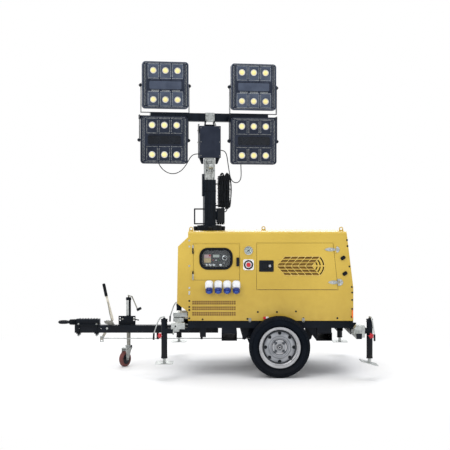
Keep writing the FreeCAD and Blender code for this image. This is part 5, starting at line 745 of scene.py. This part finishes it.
for side, name in SIDES:
    body = "road_wheel_" + name
    axis = (0, side, 0)
    outer = side * 745
    sidewall, blocks = Shape(), Shape()
    for r, rise in ((199, 2.2), (214, 1.2), (247, 1.0), (262, 2.0)):
        sidewall.lathe([(r - 3, -6), (r - 1.4, rise - 3.0), (r + 1.4, rise - 3.0), (r + 3, -6)],
                       (0, outer, AXLE_Z), axis, 72)
    count = 60
    half = pi / count * 0.62
    for i in range(count):
        a = 2 * pi * i / count
        points = [(radius * cos(b), side * across, AXLE_Z + radius * sin(b))
                  for radius, across in ((266, 741), (281, 728), (288.5, 716), (278, 706))
                  for b in (a - half, a + half)]
        blocks.faces(points, [(0, 1, 3, 2), (2, 3, 5, 4), (4, 5, 7, 6)])
    sidewall.done("tyre_rings_" + name, body, rubber)
    blocks.done("tyre_shoulder_" + name, body, tread_rubber)
    rings, nuts, vent_shades, groove_shades = (Shape() for _ in range(4))
    face = side * (DISC_Y + 32)
    # raised ring and stamped pads of the disc, bead of the rim
    rings.lathe([(55, 0), (57, 4), (62, 5), (67, 4), (69, 0)], (0, face, AXLE_Z), axis, 56)
    rings.lathe([(31, 0), (31, 9), (34, 11), (38, 9), (39, 0)], (0, face, AXLE_Z), axis, 48)
    rings.lathe([(190, 12), (191, 16), (196, 17), (199, 14), (199, 10)],
                (0, side * (DISC_Y + 58), AXLE_Z), axis, 72)
    rings.done("wheel_rings_" + name, body, silver)
    # dark rings on the disc: painted shade of its grooves
    groove_shades.lathe([(70, -1), (71, 1.2), (77, 1.2), (78, -1)], (0, face, AXLE_Z), axis, 56)
    groove_shades.lathe([(146, -2), (147, 1.5), (153, 1.5), (154, -2)], (0, face, AXLE_Z), axis, 64)
    groove_shades.done("wheel_groove_shades_" + name, body, engine_paint)
    for x, z in around(0, AXLE_Z, 57.15, [pi / 2 * (i + 0.5) for i in range(4)]):
        nuts.bolt((x, face + side * 3, z), axis, 21, 15)
    nuts.done("wheel_nuts_" + name, body, engine_paint, bevel=0.6)
    turned("hub_cap_" + name, body, plastic,
           [(0, 26), (12, 26), (22, 24), (27, 19), (28.5, 10), (28.5, -2)], (0, face, AXLE_Z), 36, axis)
    turned("hub_cap_ring_" + name, body, silver, [(9, 26.5), (10, 28), (14, 28), (15, 26)],
           (0, face, AXLE_Z), 32, axis)
    a = radians(-47)
    turned("tyre_valve_" + name, body, soft_rubber,
           [(0, -10), (5.5, -10), (5.5, 18), (4.5, 20), (4.5, 34), (0, 35)],
           (158 * cos(a), side * 684, AXLE_Z + 158 * sin(a)), 14, (-0.25 * cos(a), side, -0.25 * sin(a)))
    # dark edges of the round vents, closed by dark cups: painted shade in the holes
    for x, z in around(0, AXLE_Z, 133, [2 * pi * i / 8 + pi / 2 for i in range(8)]):
        vent_shades.lathe([(15.2, -3), (17.5, 0.6), (16.5, 1.4), (13.5, -6), (0, -6.4)],
                    (x, side * (DISC_Y + 33.4), z), axis, 22)
    vent_shades.done("wheel_vent_shades_" + name, body, plastic)

# ---- jacks
JACK_Y = 800
# where each jack stands along the chassis, and its side
JACKS = {"front_near": (-1092, -1), "front_far": (-1026, 1), "rear_near": (840, -1), "rear_far": (742, 1)}
for name, (jx, side) in JACKS.items():
    y = side * JACK_Y
    out = -1 if "front" in name else 1
    # lobed knob that locks the swivel
    axis = Vector((-1, side * 0.7, 0) if out < 0 else (0.15, side, 0)).normalized()
    centre = Vector((jx, y, 419)) + axis * 28
    knob = Shape()
    turned("jack_stud_" + name, "jack_" + name, zinc, [(0, -4), (7, -4), (7, 20), (0, 20)], centre, 16, axis)
    side_a = axis.orthogonal().normalized()
    side_b = axis.cross(side_a)
    knob.lathe([(0, 14), (16, 14), (17, 18), (17, 30), (13, 35), (0, 36)], centre, axis, 24)
    for i in range(5):
        a = 2 * pi * i / 5 + 0.4
        lobe = centre + (side_a * cos(a) + side_b * sin(a)) * 18
        knob.lathe([(0, 15), (7, 15), (8, 18), (8, 29), (6, 32), (0, 33)], lobe, axis, 14)
    knob.done("jack_knob_" + name, "jack_" + name, red)
    # clamp rings and grease nipple on the outer tube, collar at its mouth
    bands = Shape()
    bands.lathe([(28.4, -3), (31, -2), (31, 7), (28.4, 8)], (jx, y, 206), UP, 32)
    bands.lathe([(28.4, -3), (32, -2), (32, 5), (28.4, 6)], (jx, y, 548), UP, 32)
    bands.lathe([(0, 0), (4, 0), (4, 5), (2.4, 8), (0, 9)], (jx + out * 6, y + side * 27.5, 520),
                (0, side, 0), 12)
    bands.done("jack_bands_" + name, "jack_" + name, black)
    # swivel bolts on the arm's plate
    plate_x = jx - out * 93
    bolts = Shape()
    if out < 0:
        for dy, z in product((-26, 26), (489, 435)):
            bolts.bolt((plate_x - 9, y + dy, z), AHEAD, 13, 7)
    else:
        for dx, z in product((-14, 28), (500, 470)):
            bolts.bolt((plate_x + dx, y + side * 45, z), (0, side, 0), 13, 7)
    bolts.done("swivel_bolts_" + name, "arm_" + name, zinc, bevel=0.5)
    if out < 0:
        turned("arm_cap_" + name, "arm_" + name, plastic, [(0, 0), (9, 0), (8, 3), (0, 4)],
               (jx + 110, side * 898, 514), 18, (0, side, 0))
    else:
        plate("arm_cap_" + name, "arm_" + name, plastic, rounded(jx - 118, 427, 26, 26, 4),
              *sorted((side * 946, side * 953)), 2)

# ---- drawbar end
PIVOT = (-1720, 396)           # of the handbrake lever

bolts = Shape()
for x, y in product((-2010, -1826), (-49, 49)):
    bolts.bolt((x, y, 438), UP, 19, 13)
    bolts.bolt((x, y, 331), DOWN, 19, 12)
bolts.dome((PIVOT[0], -48, PIVOT[1]), NEAR, 12, 5)
bolts.done("coupling_bolts", "root", zinc, bevel=0.6)
bolted("lever_nut", "root", zinc, [(PIVOT[0], 64, PIVOT[1])], FAR, 24, 9, 0.6)
profile = [(25.5, 0)]
for i in range(6):
    profile += [(33 - i * 0.6, 4 + i * 11), (27.5 - i * 0.4, 9.5 + i * 11)]
profile += [(26, 70)]
turned("coupling_boot", "root", soft_rubber, profile, (-2036, 0, 457), 30, AHEAD)
grip = Shape()
along = (-0.205, 0, 0.979)
grip.tube([(-1738, 53, 716), (-1742, 53, 734), (-1764, 53, 838)], 15.5, 20)
for i in range(7):
    z = 742 + 13 * i
    grip.lathe([(15, -2.4), (17.2, -1), (17.2, 1), (15, 2.4)], (-1743.5 - 2.74 * i, 53, z), along, 20)
grip.lathe([(14, 0), (15.5, 2), (14, 7), (8, 10), (0, 10.5)], (-1764, 53, 837), along, 20)
grip.done("lever_grip", "handbrake_lever", soft_rubber)
pawl = Shape()
pawl.tube([(-1686, 45, 470), (-1700, 45, 520), (-1712, 45, 580), (-1724, 45, 660)], 3.4, 8)
pawl.prism([(-1716, 412), (-1676, 436), (-1668, 470), (-1684, 474), (-1706, 440)], 43, 48)
pawl.done("lever_pawl", "handbrake_lever", zinc_dull)
outline = around(*PIVOT, 50, (radians(125), radians(20)))
for i in range(15):
    outline += around(*PIVOT, 78 if i % 2 else 72, [radians(20 + 7.5 * i)])
plate("lever_sector", "root", zinc_dull, outline, 40.5, 44.5, 0.6)

# ---- jockey wheel
JOCKEY = (-1512, 76)
clamp = Shape()
for x in (-1570, -1454):
    clamp.bolt((x, 40, 484), NEAR, 13, 6)
for z, x in product((468, 492), (-1545, -1479)):
    clamp.bolt((x, 108, z), FAR, 15, 8)
clamp.done("jockey_clamp_bolts", "root", zinc_dull, bevel=0.5)
handle = Shape()
handle.tube([(-1490, 112, 480), (-1486, 128, 480), (-1450, 134, 470), (-1410, 134, 462)], 6, 12)
handle.done("jockey_clamp_handle", "root", black)
collar = Shape()
collar.lathe([(24.2, 0), (28, 1), (28, 14), (24.2, 15)], (*JOCKEY, 676), UP, 32)
collar.lathe([(24.2, 0), (27, 1), (27, 10), (24.2, 11)], (*JOCKEY, 346), UP, 32)
collar.done("jockey_collars", "root", black)
strip = Shape()
edge = around(*JOCKEY, 24.7, [radians(-172 + 7.5 * i) for i in range(13)])
strip.faces([(x, y, z) for x, y in edge for z in (520, 686)],
            [(2 * i, 2 * i + 2, 2 * i + 3, 2 * i + 1) for i in range(12)])
strip.done("jockey_strip", "root", zinc)
bolted("jockey_crank_nut", "jockey_crank", zinc, [(*JOCKEY, 722)], UP, 17, 9, 0.6)
turned("jockey_crank_grip", "jockey_crank", soft_rubber, [(12.2, -3), (14, 0), (14, 40), (11, 47), (0, 48)],
       (-1424, 76, 572.5), 22, (0.886, 0, 0.464))
turn = radians(58)
tail = (JOCKEY[0] - 60 * cos(turn), JOCKEY[1] - 60 * sin(turn))
wheel_axis = Vector((-sin(turn), cos(turn), 0))
hub, disc = Shape(), Shape()
for sign in (-1, 1):
    nut_at, disc_at = ((tail[0] + sign * wheel_axis.x * out, tail[1] + sign * wheel_axis.y * out, 78)
                       for out in (36, 17))
    hub.bolt(nut_at, wheel_axis * sign, 17, 8)
    disc.lathe([(54, 0), (52, 3), (44, 4), (20, 3.5), (17, 5), (9, 5)], disc_at, wheel_axis * sign, 36)
hub.done("jockey_axle_nuts", "jockey_fork", zinc, bevel=0.6)
disc.done("jockey_wheel_discs", "jockey_wheel", plastic)
plate("jockey_fork_stop", "jockey_fork", plastic,
      [(-1500, 208), (-1474, 212), (-1478, 178), (-1490, 150), (-1500, 152)], 66, 86, 2)

# ---- mast
bolt_ring = around(MAST_X, 0, 112, [radians(45 * i + 22.5) for i in range(8)])
bolted("mast_base_bolts", "root", zinc_dull, [(x, y, 1431) for x, y in bolt_ring], UP, 17, 9, 0.6)
knobs = Shape()
for x, y in around(MAST_X, 0, 140, [radians(90 * i + 4) for i in range(4)]):
    knobs.lathe([(0, -8), (20, -8), (20, 8), (22, 12), (22, 30), (18, 36), (0, 37)], (x, y, 1400), UP, 20)
knobs.done("mast_base_knobs", "root", plastic, bevel=1)
rope, hook, bolts = Shape(on_mast), Shape(on_mast), Shape(on_mast)
rope.tube([(9, -108, 2044), (9, -104, 2010), (8, -70, 1960), (8, -64, 1912), (8, -64, 1560)], 2.2, 8)
for x in (-34, 34):
    rope.tube([(x, -61, 1930), (x, -61, 1500)], 2.5, 6)
rope.done("mast_rope", "mast_outer", plastic)
for z, x in product((2100, 1980), (-26, 26)):
    bolts.bolt((x, -62.5, z), NEAR, 13, 6)
for x in (-34, 34):
    bolts.bolt((x, -80.5, 2044), (x, 0, 0), 17, 7)
bolts.done("mast_pulley_bolts", "mast_middle", zinc, bevel=0.5)
strapping = Shape(on_mast)
for x0, x1 in ((-40, 40), (40, -40)):
    strapping.tube([(x0, -52, 2092), (0, -55, 2044), (x1, -52, 1996)], 4, 8)
strapping.done("mast_cross_ties", "mast_middle", plastic)
# dark patches over the openings of the middle section: painted shade
slots = Shape(on_mast)
for z, x in product((2008, 2040, 2072, 2104), (-30, 30)):
    slots.prism(rounded(x, z, 7, 9, 4), -50.8, -49.5)
slots.done("mast_slot_shades", "mast_middle", painted_seam_shadow)
hook.tube([(-44, -48, 2506), (-44, -50, 2490), (-62, -50, 2462),
           (62, -50, 2462), (44, -50, 2490), (44, -48, 2506)], 6, 12)
hook.done("saddle_loop", "mast_head", plastic)
seams = Shape(on_mast)
for x, z in product((-96, 96), (2150, 2290, 2432)):
    seams.dome((x, -65.2, z), radius=4.5, height=2.4)
for z, y in product((2290, 2410), (-16, 16)):
    seams.bolt((-114, y, z), AHEAD, 13, 6)
seams.done("head_box_screws", "mast_head", zinc_dull)
saddle_bolts = Shape(on_mast)
for x, z in product((-34, 34), (2520, 2562)):
    saddle_bolts.bolt((x, -46.2, z), NEAR, 15, 8)
for x in (-603, 603):
    saddle_bolts.box(x - 3, x + 3, -36, 36, 2504, 2578)
saddle_bolts.done("saddle_bolts", "mast_head", zinc, bevel=0.6)
for z0, tag in ((1786, "upper"), (1660, "lower")):
    clips = Shape(on_mast)
    clips.box(-60.5, 60.5, -61, -57.8, z0, z0 + 14)
    clips.bolt((-44, -61, z0 + 7), NEAR, 10, 5)
    clips.bolt((44, -61, z0 + 7), NEAR, 10, 5)
    clips.done("mast_clip_" + tag, "mast_outer", black, bevel=0.8)
glands = Shape(on_mast)
for x in (84, 106, 128):
    glands.lathe([(0, 0), (9, 0), (9, 6), (7.5, 7), (7.5, 16), (5, 18), (0, 18)], (x, -50, 1470), DOWN, 16)
glands.prism(rounded(105, 1545, 33, 66, 7), -92.5, -89.5)
for sx, sz in product((-26, 26), (-58, 58)):
    glands.dome((105 + sx, -92, 1545 + sz), radius=3.6, height=2)
glands.done("junction_fittings", "mast_outer", plastic, bevel=1)
# bars of the basket, and the spare lead that is tied into it
weave = Shape(on_mast)
for i in range(9):
    z = 1650 + i * 34
    weave.tube([(93, -63, z), (203, -63, z), (203, 63, z), (93, 63, z), (93, -63, z)], 3, 6)
for x in (104, 126, 148, 170, 192):
    weave.tube([(x, -63, 1630), (x, -63, 1947)], 2.4, 6)
weave.done("basket_bars", "mast_outer", soft_rubber)
bundle = Shape(on_mast)
for i in range(11):
    across = 108 + 8.5 * i
    sway = 9 * sin(i * 1.7)
    low, high = 1592 + 14 * sin(i * 2.3) + abs(i - 5) * 9, 1962 + 16 * sin(i * 1.1)
    loop = []
    for k in range(17):
        a = 2 * pi * k / 16
        loop.append((across + sway * sin(a) + 26 * sin(a), -72 - 4.5 * cos(3 * a + i) - (i % 3) * 4,
                     (low + high) / 2 + (high - low) / 2 * cos(a)))
    bundle.tube(loop, 5.0, 8)
for z in (1690, 1800, 1900):
    bundle.tube([(92, -60, z), (92, -88, z), (204, -90, z + 6), (212, -60, z + 6)], 4.0, 8)
bundle.done("tied_lead_bundle", "mast_outer", soft_rubber)

# ---- lamps
LAMPS = {"lamp_upper_left": (-454, 0, 2858), "lamp_upper_right": (454, 0, 2858),
         "lamp_lower_left": (-480, -128, 2297), "lamp_lower_right": (428, -128, 2297)}
LED_X = 123
LED_Z = 146.5
MODULE_Z = 139                 # middle of the plate round an LED
LAMP_FRONT = -43               # front face of a lamp from its tilt axis
for body, (lx, ly, lz) in LAMPS.items():
    front = ly + LAMP_FRONT

    def place(x, y, z, lx=lx, front=front, lz=lz):
        return on_mast(lx + x, front + y, lz + z)

    frames, pins, rings, dots, lips = (Shape(place) for _ in range(5))
    for column, row in product((-1, 0, 1), (-1, 1)):
        cx, cz = column * LED_X, row * MODULE_Z
        half_x, half_z = 58.5, 78
        count = 28
        hole = around(cx, row * LED_Z, 39, [2 * pi * i / count + pi / 4 for i in range(count)])
        outline = []
        for px, pz in hole:
            dx, dz = px - cx, pz - row * LED_Z
            grow = min(half_x / max(abs(dx), 1e-6), (half_z + abs(LED_Z - MODULE_Z)) / max(abs(dz), 1e-6))
            ox, oz = cx + dx * grow, row * LED_Z + dz * grow
            oz = max(cz - half_z, min(cz + half_z, oz))
            outline.append((ox, oz))
        frames.ring_plate(outline, hole, -2.2, 1.0)
        # small screws and pins round the edge of each module
        for i, side in product(range(9), (1, -1)):
            t = -0.86 + 1.72 * i / 8
            pins.dome((cx + t * half_x, -2.2, cz + side * (half_z - 6)), radius=3.2, height=1.8)
        for i, side in product(range(1, 10), (-1, 1)):
            t = -0.86 + 1.72 * i / 10
            pins.dome((cx + side * (half_x - 6), -2.2, cz + t * half_z), radius=3.2, height=1.8)
        led = (cx, 9, row * LED_Z)
        rings.lathe([(0, -1), (31, -1), (33, 4), (33, 8), (29, 8.5), (25, 3), (0, 2)], led, steps=32)
        dots.lathe([(0, 1), (25, 1), (24, 5), (19, 8.5), (9, 10.5), (0, 11)], led, steps=28)
    # studs that hold the lens round its edge
    for i, side in product(range(31), (-1, 1)):
        t = -202.5 + 13.5 * i
        pins.dome((side * 213, -0.5, t), radius=3.4, height=2.0)
        pins.dome((side * 199, -0.5, t + 6), radius=2.6, height=1.6)
        pins.dome((t, -0.5, side * 222), radius=3.0, height=1.8)
    # raised border round the casting, and the shield across the middle
    lips.ring_plate(rounded(0, 0, 234, 235, 34), rounded(0, 0, 226, 227, 28), -3.2, 2.0)
    # the upper lamps' face, border and band take the lighter copy: painted light
    face_look = casting_lit if "upper" in body else casting
    frames.done(body + "_modules", body, face_look, bevel=0.8, slot="lamp_casting")
    lips.done(body + "_border", body, face_look, bevel=1.2, slot="lamp_casting")
    if "upper" in body:
        # short ribs under the middle band: fins of the casting, their bright zinc a painted highlight
        for group, i in product((-105, 0, 105), range(8)):
            x = group - 35 + 10 * i
            pins.tube([(x, -2.0, -66 + 3 * (i % 2)), (x + 3, -2.0, -50)], 1.9, 6)
    pins.done(body + "_module_pins", body, zinc)
    rings.done(body + "_reflectors", body, ceramic)
    dots.done(body + "_emitters", body, phosphor)
    band = Shape(place)
    band.prism(rounded(0, 0, 163, 41, 14), 1.0, 7.5)
    for z, x0 in product((-52, 52), (-150, -45, 60)):
        band.box(x0, x0 + 90, -1.6, 1.5, z - 2.2, z + 2.2)
    band.done(body + "_band", body, face_look if "upper" in body else casting_dark, bevel=1.5,
              slot="lamp_casting")
    fasteners = Shape(place)
    for sx in (-1, 1):
        for sz in (-1, 1):
            fasteners.dome((sx * 214, -0.5, sz * 215), radius=5.5, height=2.5)
        # toothed clamp at the tilt pin
        hub_x = sx * 255
        fasteners.lathe([(0, -2), (16, -2), (17, 0), (17, 2), (14, 4), (0, 4)], (hub_x, 43, 0),
                        (sx, 0, 0), 20)
        fasteners.bolt((hub_x + sx * 4, 43, 0), (sx, 0, 0), 15, 6)
    fasteners.done(body + "_fasteners", body, plastic, bevel=0.5)

# ---- floor, light and background
floor_mesh = bpy.data.meshes.new("floor")
reach = 60.0
floor_mesh.from_pydata([(-reach, -reach, 0), (reach, -reach, 0), (reach, reach, 0), (-reach, reach, 0)], [],
                       [(0, 1, 2, 3)])
in_scene("floor", floor_mesh)
floor_look = bpy.data.materials.new("floor")
floor_mesh.materials.append(floor_look)
nodes, new = nodes_of(floor_look)
feed(nodes["Principled BSDF"].inputs, {"Base Color": (0.86, 0.86, 0.86, 1.0), "Roughness": 0.85})


def looked_at(new):
    """1 for whoever looks straight at a surface or through a pane, 0 for its light on the object."""
    path = new("LightPath", {})
    looks = {0: path["Is Camera Ray"], 1: path["Is Transmission Ray"]}
    return new("Math", looks, operation="MAXIMUM")["Value"]


# far from the object the floor fades into the white of the studio for whoever looks at it
distance = new("VectorMath", {0: new("TexCoord", {})["Object"]}, operation="LENGTH")["Value"]
fade = new("MapRange", {"From Min": 1.3, "From Max": 3.6, "Value": distance}, interpolation_type="SMOOTHSTEP")
share = new("Math", {0: fade["Result"], 1: looked_at(new)}, operation="MULTIPLY")["Value"]
glow = new("Emission", {"Color": (1.0, 1.0, 1.0, 1.0)})["Emission"]
matt = nodes["Principled BSDF"].outputs["BSDF"]
blend = new("MixShader", {"Fac": share, 1: matt, 2: glow})["Shader"]
feed(nodes["Material Output"].inputs, {"Surface": blend})

world = bpy.data.worlds.new("studio")
bpy.context.scene.world = world
nodes, new = nodes_of(world)
tone = new("Mix", {"A": (0.62, 0.63, 0.66, 1.0), "B": (1.0, 1.0, 1.0, 1.0), "Factor": looked_at(new)},
           data_type="RGBA")["Result"]
feed(nodes["Background"].inputs, {"Strength": 1.0, "Color": tone})
bpy.context.scene.view_settings.view_transform = "Standard"


def area(name, place, target, size, power):
    lamp = bpy.data.lights.new(name, "AREA")
    lamp.shape = "RECTANGLE"
    lamp.size, lamp.size_y = size
    lamp.energy = power
    holder = in_scene(name, lamp)
    holder.location = place
    holder.rotation_euler = (Vector(target) - Vector(place)).to_track_quat("-Z", "Y").to_euler()


area("key", (-4.5, -6.5, 6.0), (0, 0, 1.2), (6, 5), 300)
area("fill", (6.5, -5.5, 3.5), (0, 0, 1.0), (6, 5), 150)
area("top", (0.3, 0.2, 8.0), (0.2, 0, 1.0), (9, 9), 380)
area("back", (0, 7.5, 5.0), (0, 0, 1.2), (6, 4), 300)
